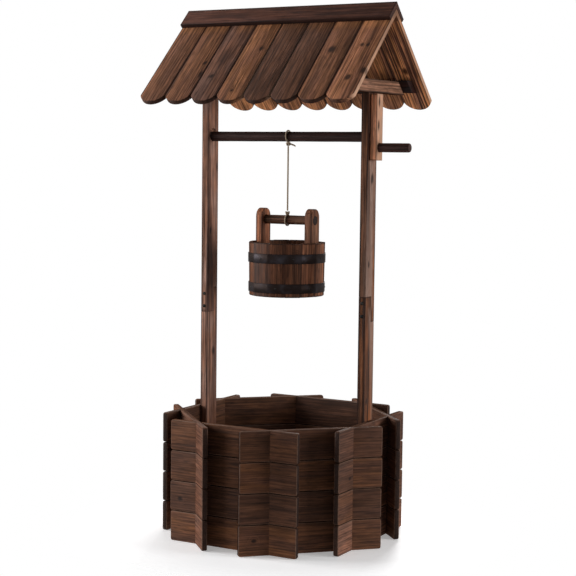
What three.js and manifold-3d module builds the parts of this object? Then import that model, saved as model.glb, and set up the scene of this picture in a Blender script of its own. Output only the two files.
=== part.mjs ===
// Wishing well planter: an octagonal board planter with two posts, a gabled roof,
// a windlass with a crank, and a stave bucket that hangs on a rope.
// Millimetres, +Z up. X runs along the ridge, with the crank on +X; -Y is the front.
// The origin is on the ground, under the middle of the octagon.

import * as THREE from 'three';
import { mergeVertices } from 'three/addons/utils/BufferGeometryUtils.js';
import Module from 'manifold-3d';

const wasm = await Module();
wasm.setup();

// Fits shared by all the pieces
const fitGap = 0.3; // between two pieces that touch
const cutOverrun = 5; // how far a cutting solid runs past the face that it cuts

// Octagonal planter of boards that cross at the corners
const wallNames = ['front', 'front_right', 'right', 'back_right', 'back', 'back_left', 'left', 'front_left'];
const wallApothem = 219; // from the centre to a wall's outer face
const wallThickness = 12;
const boardsPerWall = 4;
const wallBoardHeight = 65.6;
const wallOverrun = 65; // how far a board runs past the outer corner
const wallChamfer = 1.8; // on the long edges of each board

// Planter floor: bearers along X, slats along Y on top of them
const bearerCount = 3;
const bearerHeight = 22;
const bearerWidth = 30;
const bearerSpacing = 112;
const slatCount = 5;
const slatWidth = 65;
const slatThickness = 12;
const slatDrainGap = 11;

// Posts, each an upper and a lower piece in a half lap
const postThickness = 16; // along X
const postWidth = 42; // along Y
const postHeight = 962.2;
const lapBottom = 475;
const lapHeight = 55;
const lapSplit = 6; // the lap's joint plane lies this far behind the post's middle
const rodHoleRadius = 14.5;

// Screws through the laps
const screwShankRadius = 2;
const screwHeadRadius = 3.8;
const screwHeadHeight = 1.6;
const screwLength = 36;
const screwInset = 13.5; // from each end of the lap

// Windlass
const rodRadius = 10.75;
const rodDepthBelowPostTop = 93;
const armGap = 1; // between the post and the crank arm
const armThickness = 16;
const armWidth = 28;
const armReachBelowRod = 49.8;
const armTurningGap = 2; // between the turning arm's corner and the beam
const armBoreWeb = 1.4; // wood left between the two blind bores
const handleRadius = 9.65;
const handleDrop = 22.7; // from the rod's axis to the handle's axis
const handleLength = 71; // outside the arm
const handleDomeHeight = 2.2;

// Gable beams on the post tops
const beamThickness = 24;
const beamHeight = 27.5;
const beamLength = 273.5; // along its lower edge

// Roof
const roofPitch = THREE.MathUtils.degToRad(44);
const battenThickness = 19;
const battenWidth = 36;
const battenInset = 23.5; // from the roof's gable edge to the batten's end
const battenRise = 4; // of the batten's middle above the beam's middle
const roofBoardCount = 8; // on each slope
const roofBoardPitch = 64.625;
const roofBoardGap = 0.6;
const roofBoardThickness = 10;
const roofBoardLength = 283; // down the slope, from the ridge to the tip, on the upper face
const scallopDepth = 20;
const capThickness = 10;
const capWidth = 48;

// Stave bucket
const hangX = 2.5; // where the rope hangs on the rod
const dowelDepthBelowRod = 181.2;
const staveCount = 14;
const tubHeight = 117;
const tubTopRadius = 84.6;
const tubBottomRadius = 83;
const tubWall = 9.5;
const staveCrown = 0.9; // how far a stave's outer face bulges
const staveGroove = 0.8; // depth of the V between two staves
const staveGrooveWidth = 2;
const dowelAboveRim = 48;
const tubFloorThickness = 10;
const tubFloorRecess = 3; // from the tub's lower edge to the floor
const crozeDepth = 3; // of the groove that holds the floor
const hoopThickness = 1.5;
const hoopHeight = 20.5;
const lowerHoopRise = 9; // from the tub's lower edge to the lower hoop
const upperHoopRise = 73;
const earThickness = 16;
const earWidth = 37;
const earTopAboveDowel = 25;
const dowelRadius = 10;

// Rope
const ropeRadius = 1.9;
const ropeTurnGap = 0.7; // between two turns of rope side by side
const knotHeight = 9;
const knotLength = 12;
const knotDepth = 10;
const knotStandOff = 0.3; // between a knot and the wood that its loop goes round
const tailLength = 15;
const tailDroop = 5;

// Counts of facets
const roundSides = 32;
const smallRoundSides = 16;
const ropeSides = 6;
const ropeRunSides = 8;
const loopSteps = 24;
const scallopSteps = 14;
const earArcSteps = 14;
const domeSteps = 3;
const knotSides = 12;
const knotRings = 8;

// Colours and finishes
const finishes = {
  wallBoard: { color: 0x4b3228, roughness: 0.75, metalness: 0 },
  floorBoard: { color: 0x5a3d2c, roughness: 0.8, metalness: 0 },
  post: { color: 0x4a2d24, roughness: 0.7, metalness: 0 },
  rod: { color: 0x2a1c18, roughness: 0.65, metalness: 0 },
  arm: { color: 0x9b7a5e, roughness: 0.7, metalness: 0 },
  beam: { color: 0x8d6a52, roughness: 0.75, metalness: 0 },
  batten: { color: 0x2d1c17, roughness: 0.75, metalness: 0 },
  roofBoard: { color: 0x7a4e37, roughness: 0.7, metalness: 0 },
  cap: { color: 0x4a322a, roughness: 0.7, metalness: 0 },
  bucket: { color: 0x54332a, roughness: 0.7, metalness: 0 },
  ear: { color: 0x5d3a30, roughness: 0.7, metalness: 0 },
  iron: { color: 0x1f2023, roughness: 0.45, metalness: 0.7 },
  screw: { color: 0x191614, roughness: 0.4, metalness: 0.8 },
  rope: { color: 0xb09468, roughness: 0.95, metalness: 0 },
};

// Sizes worked out from the ones above
const wallInnerApothem = wallApothem - wallThickness;
const wallMidApothem = wallApothem - wallThickness / 2;
const wallCount = wallNames.length;
const wallHalfTurn = Math.PI / wallCount;
const wallHalfLength = wallApothem * Math.tan(wallHalfTurn) + wallOverrun;
const bearerTop = bearerHeight + fitGap;
const postOuterX = wallInnerApothem - fitGap;
const postInnerX = postOuterX - postThickness;
const postMidX = (postOuterX + postInnerX) / 2;
const lapTop = lapBottom + lapHeight;
const rodZ = postHeight - rodDepthBelowPostTop;
const rodHoleZ = rodZ + rodHoleRadius - rodRadius - fitGap;
const armInnerX = postOuterX + armGap;
const armOuterX = armInnerX + armThickness;
const armBoreDepth = (armThickness - armBoreWeb) / 2;
const handleZ = rodZ - handleDrop;
const beamBottom = postHeight + fitGap;
const beamTop = beamBottom + beamHeight;
const armSwing = beamBottom - rodZ - armTurningGap;
const armReachAboveRod = Math.sqrt(armSwing ** 2 - (armWidth / 2) ** 2);

// The roof is stacked on the beams' sloping ends. Depths are measured square to the slope,
// down from the upper face of the ridge cap, and the ridge height follows from them.
const boardTopDepth = capThickness + fitGap;
const boardUnderDepth = boardTopDepth + roofBoardThickness;
const battenTopDepth = boardUnderDepth + fitGap;
const battenUnderDepth = battenTopDepth + battenThickness;
const beamEndDepth = battenUnderDepth + fitGap;
const ridgeZ = beamBottom + (beamLength / 2) * Math.tan(roofPitch) + beamEndDepth / Math.cos(roofPitch);
const slopeAt = (z, depth) => (ridgeZ - z - depth * Math.cos(roofPitch)) / Math.sin(roofPitch);
const battenMid = slopeAt((beamBottom + beamTop) / 2 + battenRise, battenUnderDepth);
const roofLength = roofBoardCount * roofBoardPitch;
const battenHalfLength = roofLength / 2 - battenInset;

const dowelZ = rodZ - dowelDepthBelowRod;
const tubTop = dowelZ - dowelAboveRim;
const tubBottom = tubTop - tubHeight;
const tubFloorBottom = tubBottom + tubFloorRecess;
const tubFloorTop = tubFloorBottom + tubFloorThickness;
const staveHalfTurn = Math.PI / staveCount;

const wrapRadiusOn = (coreRadius) => coreRadius + fitGap + ropeRadius;
const knotReachOn = (coreRadius) => coreRadius + fitGap + knotStandOff + knotHeight / 2;

// Solids: closed three.js meshes joined and cut as manifold solids

const asSolid = (geometry) => {
  const bare = geometry.index ? geometry.toNonIndexed() : geometry.clone();
  bare.deleteAttribute('normal');
  bare.deleteAttribute('uv');
  const welded = mergeVertices(bare);
  return new wasm.Manifold(new wasm.Mesh({
    numProp: 3,
    vertProperties: new Float32Array(welded.attributes.position.array),
    triVerts: new Uint32Array(welded.index.array),
  }));
};

const asGeometry = (solid) => {
  const mesh = solid.getMesh();
  const geometry = new THREE.BufferGeometry();
  geometry.setAttribute('position', new THREE.BufferAttribute(mesh.vertProperties, 3));
  geometry.setIndex(new THREE.BufferAttribute(mesh.triVerts, 1));
  geometry.computeVertexNormals();
  return geometry;
};

const cut = (geometry, tools) => {
  let solid = asSolid(geometry);
  for (const tool of tools) {
    solid = solid.subtract(asSolid(tool));
  }
  return asGeometry(solid);
};

const join = (geometries) => {
  let solid = asSolid(geometries[0]);
  for (const geometry of geometries.slice(1)) {
    solid = solid.add(asSolid(geometry));
  }
  return asGeometry(solid);
};

const keepInside = (geometry, envelope) => asGeometry(asSolid(geometry).intersect(asSolid(envelope)));

// Shapes: a box between two corners, outlines run along an axis, and round bars

const box = (x0, x1, y0, y1, z0, z1) => {
  const geometry = new THREE.BoxGeometry(x1 - x0, y1 - y0, z1 - z0);
  return geometry.translate((x0 + x1) / 2, (y0 + y1) / 2, (z0 + z1) / 2);
};

const outline = (points) => new THREE.Shape(points.map(([a, b]) => new THREE.Vector2(a, b)));

const alongZ = (shape, z0, z1) => {
  const geometry = new THREE.ExtrudeGeometry(shape, { depth: z1 - z0, bevelEnabled: false });
  return geometry.translate(0, 0, z0);
};

// The outline's points are (y, z).
const alongX = (shape, x0, x1) => {
  const axes = new THREE.Matrix4().makeBasis(
    new THREE.Vector3(0, 1, 0),
    new THREE.Vector3(0, 0, 1),
    new THREE.Vector3(1, 0, 0),
  );
  return alongZ(shape, x0, x1).applyMatrix4(axes);
};

const barAlongX = (radius, x0, x1, y, z) => {
  const geometry = new THREE.CylinderGeometry(radius, radius, x1 - x0, roundSides);
  return geometry.rotateZ(-Math.PI / 2).translate((x0 + x1) / 2, y, z);
};

const barAlongY = (radius, y0, y1, x, z) => {
  const geometry = new THREE.CylinderGeometry(radius, radius, y1 - y0, smallRoundSides);
  return geometry.translate(x, (y0 + y1) / 2, z);
};

const polygonPrism = (sides, apothem, z0, z1) => {
  const radius = apothem / Math.cos(Math.PI / sides);
  const points = [];
  for (let i = 0; i < sides; i += 1) {
    const angle = ((2 * i + 1) * Math.PI) / sides;
    points.push([radius * Math.cos(angle), radius * Math.sin(angle)]);
  }
  return alongZ(outline(points), z0, z1);
};

// The exported group, and the one way that a piece gets into it
const well = new THREE.Group();
well.name = 'wishing_well_planter';

const addPiece = (name, finish, geometry, parent = well) => {
  const mesh = new THREE.Mesh(geometry, new THREE.MeshStandardMaterial(finishes[finish]));
  mesh.name = name;
  parent.add(mesh);
  return mesh;
};

// Planter wall: four boards on edge, with chamfered long edges, one above the other.
// Straight walls are notched from above and diagonal walls from below.
const wallOutline = () => {
  const half = wallThickness / 2;
  const outer = [];
  const inner = [];
  for (let i = 0; i < boardsPerWall; i += 1) {
    const low = i * wallBoardHeight;
    const high = low + wallBoardHeight;
    outer.push([-half + wallChamfer, low], [-half, low + wallChamfer]);
    outer.push([-half, high - wallChamfer], [-half + wallChamfer, high]);
    inner.push([half - wallChamfer, low], [half, low + wallChamfer]);
    inner.push([half, high - wallChamfer], [half - wallChamfer, high]);
  }
  const points = [...inner, ...outer.reverse()];
  const distinct = ([y, z], i) => {
    const [nextY, nextZ] = points[(i + 1) % points.length];
    return Math.hypot(nextY - y, nextZ - z) > 0;
  };
  return outline(points.filter(distinct));
};

const notchTools = (fromAbove) => {
  const tools = [];
  const near = -wallApothem - fitGap;
  const far = -wallInnerApothem + fitGap;
  for (let i = 0; i < boardsPerWall; i += 1) {
    const low = i * wallBoardHeight;
    const middle = low + wallBoardHeight / 2;
    const high = low + wallBoardHeight;
    const z0 = fromAbove ? middle - fitGap / 2 : low - (i === 0 ? cutOverrun : fitGap / 2);
    const topRun = i === boardsPerWall - 1 ? cutOverrun : fitGap / 2;
    const z1 = fromAbove ? high + topRun : middle + fitGap / 2;
    for (const turn of [-1, 1]) {
      const tool = box(-wallHalfLength, wallHalfLength, near, far, z0, z1);
      tools.push(tool.rotateZ(turn * 2 * wallHalfTurn));
    }
  }
  return tools;
};

const addWalls = () => {
  const plain = alongX(wallOutline(), -wallHalfLength, wallHalfLength).translate(0, -wallMidApothem, 0);
  const straight = cut(plain, notchTools(true));
  const diagonal = cut(plain, notchTools(false));
  for (let i = 0; i < wallCount; i += 1) {
    const geometry = i % 2 === 0 ? straight.clone() : diagonal.clone();
    const wall = addPiece(`planter_wall_${wallNames[i]}`, 'wallBoard', geometry);
    wall.rotation.z = i * 2 * wallHalfTurn;
  }
};

// Planter floor: the middle bearer runs between the posts, the outer ones between the walls
const addFloor = () => {
  const floorTop = bearerTop + slatThickness;
  const inside = polygonPrism(wallCount, wallInnerApothem - fitGap, -cutOverrun, floorTop + cutOverrun);
  for (let i = 0; i < bearerCount; i += 1) {
    const y = (i - (bearerCount - 1) / 2) * bearerSpacing;
    const meetsPosts = Math.abs(y) < (postWidth + bearerWidth) / 2 + fitGap;
    const end = meetsPosts ? postInnerX - fitGap : wallApothem;
    const bar = box(-end, end, y - bearerWidth / 2, y + bearerWidth / 2, 0, bearerHeight);
    addPiece(`floor_bearer_${i + 1}`, 'floorBoard', keepInside(bar, inside));
  }
  for (let i = 0; i < slatCount; i += 1) {
    const x = (i - (slatCount - 1) / 2) * (slatWidth + slatDrainGap);
    const slat = box(x - slatWidth / 2, x + slatWidth / 2, -wallApothem, wallApothem, bearerTop, floorTop);
    const posts = [-1, 1].map((side) => box(
      side * postMidX - postThickness / 2 - fitGap,
      side * postMidX + postThickness / 2 + fitGap,
      -postWidth / 2 - fitGap,
      postWidth / 2 + fitGap,
      0,
      postHeight,
    ));
    addPiece(`floor_slat_${i + 1}`, 'floorBoard', cut(keepInside(slat, inside), posts));
  }
};

// Posts: side is -1 on the left and 1 on the right. On the left the upper piece's tongue
// is in front, on the right the lower piece's tongue is.
const addPost = (side) => {
  const sideName = side < 0 ? 'left' : 'right';
  const x0 = side * postMidX - postThickness / 2;
  const x1 = side * postMidX + postThickness / 2;
  const back = postWidth / 2;
  const upperInFront = side < 0;
  const screwZs = [lapBottom + screwInset, lapTop - screwInset];
  const screwHoles = () => screwZs.map((z) => barAlongY(
    screwShankRadius + fitGap,
    -back - cutOverrun,
    -back + screwLength + fitGap,
    side * postMidX,
    z,
  ));

  const across = [x0 - cutOverrun, x1 + cutOverrun];
  const frontHalf = [-back - cutOverrun, lapSplit + fitGap / 2];
  const backHalf = [lapSplit - fitGap / 2, back + cutOverrun];
  const lowerStep = box(...across, ...(upperInFront ? frontHalf : backHalf), lapBottom, lapTop + cutOverrun);
  const upperStep = box(...across, ...(upperInFront ? backHalf : frontHalf), 0, lapTop + fitGap);
  const lower = box(x0, x1, -back, back, 0, lapTop);
  const upper = box(x0, x1, -back, back, lapBottom + fitGap, postHeight);
  const rodHole = barAlongX(rodHoleRadius, ...across, 0, rodHoleZ);

  addPiece(`${sideName}_post_lower`, 'post', cut(lower, [lowerStep, ...screwHoles()]));
  addPiece(`${sideName}_post_upper`, 'post', cut(upper, [upperStep, rodHole, ...screwHoles()]));
  screwZs.forEach((z, i) => {
    const screw = addPiece(`${sideName}_post_screw_${i + 1}`, 'screw', screwGeometry());
    screw.position.set(side * postMidX, -back - fitGap, z);
  });
};

// A round-headed screw that points along +Y, with the underside of its head at the origin
const screwGeometry = () => {
  const points = [new THREE.Vector2(0, -screwHeadHeight)];
  for (let i = 1; i <= domeSteps; i += 1) {
    const angle = (i / domeSteps) * (Math.PI / 2);
    points.push(new THREE.Vector2(screwHeadRadius * Math.sin(angle), -screwHeadHeight * Math.cos(angle)));
  }
  points.push(new THREE.Vector2(screwShankRadius, 0));
  points.push(new THREE.Vector2(screwShankRadius, screwLength - screwShankRadius));
  points.push(new THREE.Vector2(0, screwLength));
  return new THREE.LatheGeometry(points, smallRoundSides);
};

// Windlass: the rod through both posts, the crank arm on its end, and the handle
const addWindlass = () => {
  const rodEnd = armInnerX + armBoreDepth;
  const handleStart = armOuterX - armBoreDepth;
  addPiece('windlass_rod', 'rod', barAlongX(rodRadius, -postOuterX, rodEnd - fitGap, 0, rodZ));

  const half = armWidth / 2;
  const board = box(armInnerX, armOuterX, -half, half, rodZ - armReachBelowRod, rodZ + armReachAboveRod);
  const rodBore = barAlongX(rodRadius + fitGap, armInnerX - cutOverrun, rodEnd, 0, rodZ);
  const handleBore = barAlongX(handleRadius + fitGap, handleStart, armOuterX + cutOverrun, 0, handleZ);
  addPiece('crank_arm', 'arm', cut(board, [rodBore, handleBore]));

  const inner = fitGap - armBoreDepth;
  const points = [new THREE.Vector2(0, inner), new THREE.Vector2(handleRadius, inner)];
  for (let i = 0; i <= domeSteps; i += 1) {
    const angle = (i / domeSteps) * (Math.PI / 2);
    const along = handleLength - handleDomeHeight * (1 - Math.sin(angle));
    const radius = handleRadius - handleDomeHeight * (1 - Math.cos(angle));
    points.push(new THREE.Vector2(radius, along));
  }
  points.push(new THREE.Vector2(0, handleLength));
  const handle = new THREE.LatheGeometry(points, roundSides).rotateZ(-Math.PI / 2);
  addPiece('crank_handle', 'rod', handle).position.set(armOuterX, 0, handleZ);
};

// Gable beams: flat on the post tops, both ends cut to the slope
const addBeams = () => {
  const bottomHalf = beamLength / 2;
  const topHalf = bottomHalf - beamHeight / Math.tan(roofPitch);
  const lowerEdge = [[-bottomHalf, beamBottom], [bottomHalf, beamBottom]];
  const upperEdge = [[topHalf, beamTop], [-topHalf, beamTop]];
  const shape = outline([...lowerEdge, ...upperEdge]);
  for (const [name, side] of [['left', -1], ['right', 1]]) {
    const ends = [side * postInnerX, side * (postInnerX + beamThickness)].sort((a, b) => a - b);
    addPiece(`${name}_gable_beam`, 'beam', alongX(shape, ends[0], ends[1]));
  }
};

// One roof slope, in a frame on the ridge: +Y down the slope, +Z out of it.
// Depths are below the ridge cap's upper face, and the ridge ends are cut plumb.
const plumbStart = (depth) => depth * Math.tan(roofPitch) + fitGap / 2 / Math.cos(roofPitch);

const slopeStrip = (start, end, top, bottom) => {
  const under = [[start, -bottom], [end, -bottom]];
  const over = [[end, -top], [start, -top]];
  return outline([...under, ...over]);
};

const roofBoardOutline = () => {
  const half = (roofBoardPitch - roofBoardGap) / 2;
  const radius = (half ** 2 + scallopDepth ** 2) / (2 * scallopDepth);
  const tip = plumbStart(boardTopDepth) + roofBoardLength;
  const sweep = Math.asin(Math.min(1, half / radius));
  const arc = scallopDepth > half ? Math.PI - sweep : sweep;
  const points = [[-half, 0], [half, 0]];
  for (let i = 0; i <= scallopSteps; i += 1) {
    const angle = arc * (1 - (2 * i) / scallopSteps);
    points.push([radius * Math.sin(angle), tip - radius * (1 - Math.cos(angle))]);
  }
  return outline(points);
};

const ridgeCut = () => {
  const reach = roofBoardLength;
  const edge = boardUnderDepth + cutOverrun;
  const shape = outline([
    [plumbStart(edge), -edge],
    [plumbStart(-cutOverrun), cutOverrun],
    [-reach, cutOverrun],
    [-reach, -edge],
  ]);
  return alongX(shape, -roofLength, roofLength);
};

const addSlope = (name, turn) => {
  const slope = new THREE.Group();
  slope.position.z = ridgeZ;
  slope.rotation.set(-roofPitch, 0, turn, 'ZXY');
  well.add(slope);

  const halfLength = roofLength / 2;
  const capShape = slopeStrip(0, capWidth, 0, capThickness);
  const cap = cut(alongX(capShape, -halfLength, halfLength), [ridgeCut()]);
  addPiece(`${name}_ridge_cap`, 'cap', cap, slope);

  const battenStart = battenMid - battenWidth / 2;
  const battenEnd = battenStart + battenWidth;
  const lean = battenThickness / Math.tan(roofPitch); // its upper and lower sides are level
  const battenUnder = [[battenStart, -battenUnderDepth], [battenEnd, -battenUnderDepth]];
  const battenOver = [[battenEnd + lean, -battenTopDepth], [battenStart + lean, -battenTopDepth]];
  const battenShape = outline([...battenUnder, ...battenOver]);
  const batten = alongX(battenShape, -battenHalfLength, battenHalfLength);
  addPiece(`${name}_roof_batten`, 'batten', batten, slope);

  const board = cut(alongZ(roofBoardOutline(), -boardUnderDepth, -boardTopDepth), [ridgeCut()]);
  const mirror = turn === 0 ? 1 : -1;
  for (let i = 0; i < roofBoardCount; i += 1) {
    const piece = addPiece(`${name}_roof_board_${i + 1}`, 'roofBoard', board.clone(), slope);
    piece.position.x = mirror * (i - (roofBoardCount - 1) / 2) * roofBoardPitch;
  }
};

// Bucket tub: staves in a ring with a V between each two, tapered, with a groove for the floor.
// Ring outlines are worked out at the rim's radius and drawn in towards the bottom.
const taperAt = (z) => 1 + ((tubBottomRadius / tubTopRadius - 1) * (tubTop - z)) / tubHeight;

const taper = (geometry) => {
  const position = geometry.attributes.position;
  for (let i = 0; i < position.count; i += 1) {
    const scale = taperAt(position.getZ(i));
    position.setXY(i, position.getX(i) * scale, position.getY(i) * scale);
  }
  return geometry;
};

// Points of one ring of staves at the rim: each outer face bulges a little between its edges.
const staveRing = (radius, crown, groove) => {
  const points = [];
  const grooveTurn = staveGrooveWidth / 2 / radius;
  const flat = radius * Math.cos(staveHalfTurn);
  for (let i = 0; i < staveCount; i += 1) {
    const edge = (2 * i - 1) * staveHalfTurn;
    const middle = edge + staveHalfTurn;
    if (groove > 0) {
      points.push([(radius - groove) * Math.cos(edge), (radius - groove) * Math.sin(edge)]);
      points.push([radius * Math.cos(edge + grooveTurn), radius * Math.sin(edge + grooveTurn)]);
    } else {
      points.push([radius * Math.cos(edge), radius * Math.sin(edge)]);
    }
    points.push([(flat + crown) * Math.cos(middle), (flat + crown) * Math.sin(middle)]);
    if (groove > 0) {
      const end = edge + 2 * staveHalfTurn - grooveTurn;
      points.push([radius * Math.cos(end), radius * Math.sin(end)]);
    }
  }
  return points;
};

const ringBetween = (outerPoints, innerPoints, z0, z1) => {
  const shape = outline(outerPoints);
  shape.holes.push(new THREE.Path(innerPoints.map(([a, b]) => new THREE.Vector2(a, b))));
  return taper(alongZ(shape, z0, z1));
};

const tubInnerRadius = tubTopRadius - tubWall;
const tubInnerFlatAt = (z) => tubInnerRadius * Math.cos(staveHalfTurn) * taperAt(z);

const earOutline = () => {
  const half = earWidth / 2;
  const arcCentre = dowelZ + earTopAboveDowel - half;
  const points = [[-half, tubFloorTop + fitGap], [half, tubFloorTop + fitGap]];
  for (let i = 0; i <= earArcSteps; i += 1) {
    const angle = (i / earArcSteps) * Math.PI;
    points.push([half * Math.cos(angle), arcCentre + half * Math.sin(angle)]);
  }
  return outline(points);
};

const addBucket = () => {
  const bucket = new THREE.Group();
  bucket.position.x = hangX;
  well.add(bucket);

  const wallRing = ringBetween(
    staveRing(tubTopRadius, staveCrown, staveGroove),
    staveRing(tubInnerRadius, 0, 0),
    tubBottom,
    tubTop,
  );
  const floorFlat = tubInnerFlatAt(tubFloorBottom) + crozeDepth;
  const croze = polygonPrism(staveCount, floorFlat + fitGap, tubFloorBottom - fitGap, tubFloorTop + fitGap);
  addPiece('bucket_staves', 'bucket', cut(wallRing, [croze]), bucket);
  const disc = polygonPrism(staveCount, floorFlat, tubFloorBottom, tubFloorTop);
  addPiece('bucket_floor', 'bucket', disc, bucket);

  for (const [name, rise] of [['lower', lowerHoopRise], ['upper', upperHoopRise]]) {
    const inside = staveRing(tubTopRadius + fitGap, staveCrown, 0);
    const outside = staveRing(tubTopRadius + fitGap + hoopThickness, staveCrown, 0);
    const z0 = tubBottom + rise;
    addPiece(`bucket_${name}_hoop`, 'iron', ringBetween(outside, inside, z0, z0 + hoopHeight), bucket);
  }

  // The ears stand in the tub with their outer edges against the staves.
  const staveFlat = tubInnerFlatAt(tubFloorTop);
  const earOuter = Math.min(staveFlat, Math.sqrt(staveFlat ** 2 - (earWidth / 2) ** 2)) - fitGap;
  const boreEnd = earOuter + cutOverrun;
  const dowelBore = barAlongX(dowelRadius + fitGap, -boreEnd, boreEnd, 0, dowelZ);
  for (const [name, side] of [['left', -1], ['right', 1]]) {
    const ends = [side * earOuter, side * (earOuter - earThickness)].sort((a, b) => a - b);
    const ear = cut(alongX(earOutline(), ends[0], ends[1]), [dowelBore]);
    addPiece(`bucket_${name}_ear`, 'ear', ear, bucket);
  }
  addPiece('bucket_handle_dowel', 'ear', barAlongX(dowelRadius, -earOuter, earOuter, 0, dowelZ), bucket);
};

// Rope: a turn round a wooden bar, drawn together in a knot. The turn is one tube that
// steps sideways as it goes round. toKnot is 1 with the knot above the bar, -1 below it.
class TurnCurve extends THREE.Curve {
  constructor(coreRadius, toKnot) {
    super();
    this.radius = wrapRadiusOn(coreRadius);
    this.reach = knotReachOn(coreRadius);
    this.toKnot = toKnot;
    this.open = Math.acos(this.radius / this.reach);
    this.straight = this.radius * Math.tan(this.open);
    this.bend = this.radius * 2 * (Math.PI - this.open);
  }

  getPoint(t, target = new THREE.Vector3()) {
    const total = 2 * this.straight + this.bend;
    const run = t * total;
    const x = (t * 2 - 1) * (ropeRadius + ropeTurnGap / 2);
    const onBend = THREE.MathUtils.clamp(run - this.straight, 0, this.bend);
    const angle = this.open + onBend / this.radius;
    const way = run < this.straight ? -1 : 1;
    const outside = Math.abs(run - this.straight - onBend);
    const y = this.radius * Math.sin(angle) + way * outside * Math.cos(angle);
    const z = this.radius * Math.cos(angle) - way * outside * Math.sin(angle);
    return target.set(x, y, this.toKnot * z);
  }
}

const ropeSection = (sides) => {
  const points = [];
  for (let i = 0; i < sides; i += 1) {
    const angle = (2 * Math.PI * i) / sides;
    points.push([ropeRadius * Math.cos(angle), ropeRadius * Math.sin(angle)]);
  }
  return outline(points);
};

const ropeAlong = (curve, steps) => new THREE.ExtrudeGeometry(ropeSection(ropeSides), {
  steps,
  extrudePath: curve,
  bevelEnabled: false,
});

// Least gap between two stretches of a turn that aren't next to each other, on its points
const leastTurnGap = (curve) => {
  const points = curve.getPoints(loopSteps);
  let least = Infinity;
  for (let i = 0; i < points.length; i += 1) {
    for (let j = i + loopSteps / 2; j < points.length; j += 1) {
      least = Math.min(least, points[i].distanceTo(points[j]) - 2 * ropeRadius);
    }
  }
  return least;
};

const knotGeometry = (curve) => {
  const ball = new THREE.SphereGeometry(1, knotSides, knotRings).rotateX(Math.PI / 2);
  ball.scale(knotLength / 2, knotDepth / 2, knotHeight / 2);
  return ball.translate(0, 0, curve.toKnot * curve.reach);
};

const tailGeometry = (curve) => {
  const z = curve.toKnot * curve.reach;
  const side = knotLength / 4;
  const path = new THREE.CatmullRomCurve3([
    new THREE.Vector3(0, 0, z),
    new THREE.Vector3(side + tailLength / 2, 0, z),
    new THREE.Vector3(side + tailLength, 0, z - tailDroop),
  ]);
  return ropeAlong(path, ropeSides);
};

const addRope = () => {
  const onRod = new TurnCurve(rodRadius, -1);
  const rodTurn = join([ropeAlong(onRod, loopSteps), knotGeometry(onRod), tailGeometry(onRod)]);
  addPiece('rope_turn_on_rod', 'rope', rodTurn).position.set(hangX, 0, rodZ);

  const onDowel = new TurnCurve(dowelRadius, 1);
  const dowelTurn = join([ropeAlong(onDowel, loopSteps), knotGeometry(onDowel)]);
  addPiece('rope_hitch_on_dowel', 'rope', dowelTurn).position.set(hangX, 0, dowelZ);

  const top = rodZ - onRod.reach - knotHeight / 2 - fitGap;
  const bottom = dowelZ + onDowel.reach + knotHeight / 2 + fitGap;
  const run = new THREE.CylinderGeometry(ropeRadius, ropeRadius, top - bottom, ropeRunSides);
  addPiece('rope_run', 'rope', run.rotateX(Math.PI / 2)).position.set(hangX, 0, (top + bottom) / 2);

  for (const [name, curve] of [['rod', onRod], ['dowel', onDowel]]) {
    console.log(`rope on the ${name}: least gap to itself ${leastTurnGap(curve).toFixed(2)} mm`);
  }
  console.log(`rope run ${(top - bottom).toFixed(1)} mm, ridge at ${ridgeZ.toFixed(1)} mm`);
};

addWalls();
addFloor();
addPost(-1);
addPost(1);
addWindlass();
addBeams();
addSlope('back', 0);
addSlope('front', Math.PI);
addBucket();
addRope();

export default well;
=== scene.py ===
"""Wishing well planter of charred fir: the looks of the part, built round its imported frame.

Shapes are worked out in millimetres, in the frame's own axes: +Z up, X along the ridge with the
crank on +X, and the front on -Y. They become metres when a mesh is written.
"""

import logging
import math
from collections.abc import Callable, Sequence
from dataclasses import dataclass, replace
from enum import Enum
from functools import partial

import bmesh
import bpy
import numpy as np
from mathutils import Matrix, Vector
from numpy.typing import ArrayLike


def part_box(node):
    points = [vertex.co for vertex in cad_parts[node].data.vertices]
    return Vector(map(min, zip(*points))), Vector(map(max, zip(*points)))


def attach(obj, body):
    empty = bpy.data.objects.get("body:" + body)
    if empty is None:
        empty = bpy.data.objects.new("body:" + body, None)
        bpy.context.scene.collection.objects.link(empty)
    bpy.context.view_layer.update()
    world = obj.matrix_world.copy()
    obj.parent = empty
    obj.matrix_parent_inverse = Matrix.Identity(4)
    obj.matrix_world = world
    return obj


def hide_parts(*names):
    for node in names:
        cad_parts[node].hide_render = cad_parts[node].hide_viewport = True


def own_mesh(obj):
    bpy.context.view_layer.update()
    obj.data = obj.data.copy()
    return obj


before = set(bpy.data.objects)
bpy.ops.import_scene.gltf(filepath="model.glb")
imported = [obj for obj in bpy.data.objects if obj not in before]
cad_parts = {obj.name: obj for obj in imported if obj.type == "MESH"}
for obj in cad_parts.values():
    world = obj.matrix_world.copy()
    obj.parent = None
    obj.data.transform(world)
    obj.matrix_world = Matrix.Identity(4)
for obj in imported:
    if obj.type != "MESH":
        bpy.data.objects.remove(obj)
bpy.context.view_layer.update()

log = logging.getLogger("wishing_well_planter")

MM = 0.001
FIT_GAP = 0.3  # between pieces that touch, as in the CAD
FAR = 9.0  # a knot coordinate that is well outside any knot
NO_CORNERS = 1000.0  # a half size that keeps the corners out of the flame
KNOT_CORE = "#150b08"  # the colour of a knot's middle
KNOT_NAMES = ("knot_a", "knot_b", "knot_c", "knot_d")
WALLS = ("front", "front_right", "right", "back_right", "back", "back_left", "left", "front_left")
UP = np.array([0.0, 0, 1])

Tube = tuple[np.ndarray, list[list[int]], dict[str, np.ndarray]]  # points, faces and attributes
Put = Callable[..., bpy.types.NodeSocket]  # adds a node to a tree


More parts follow.
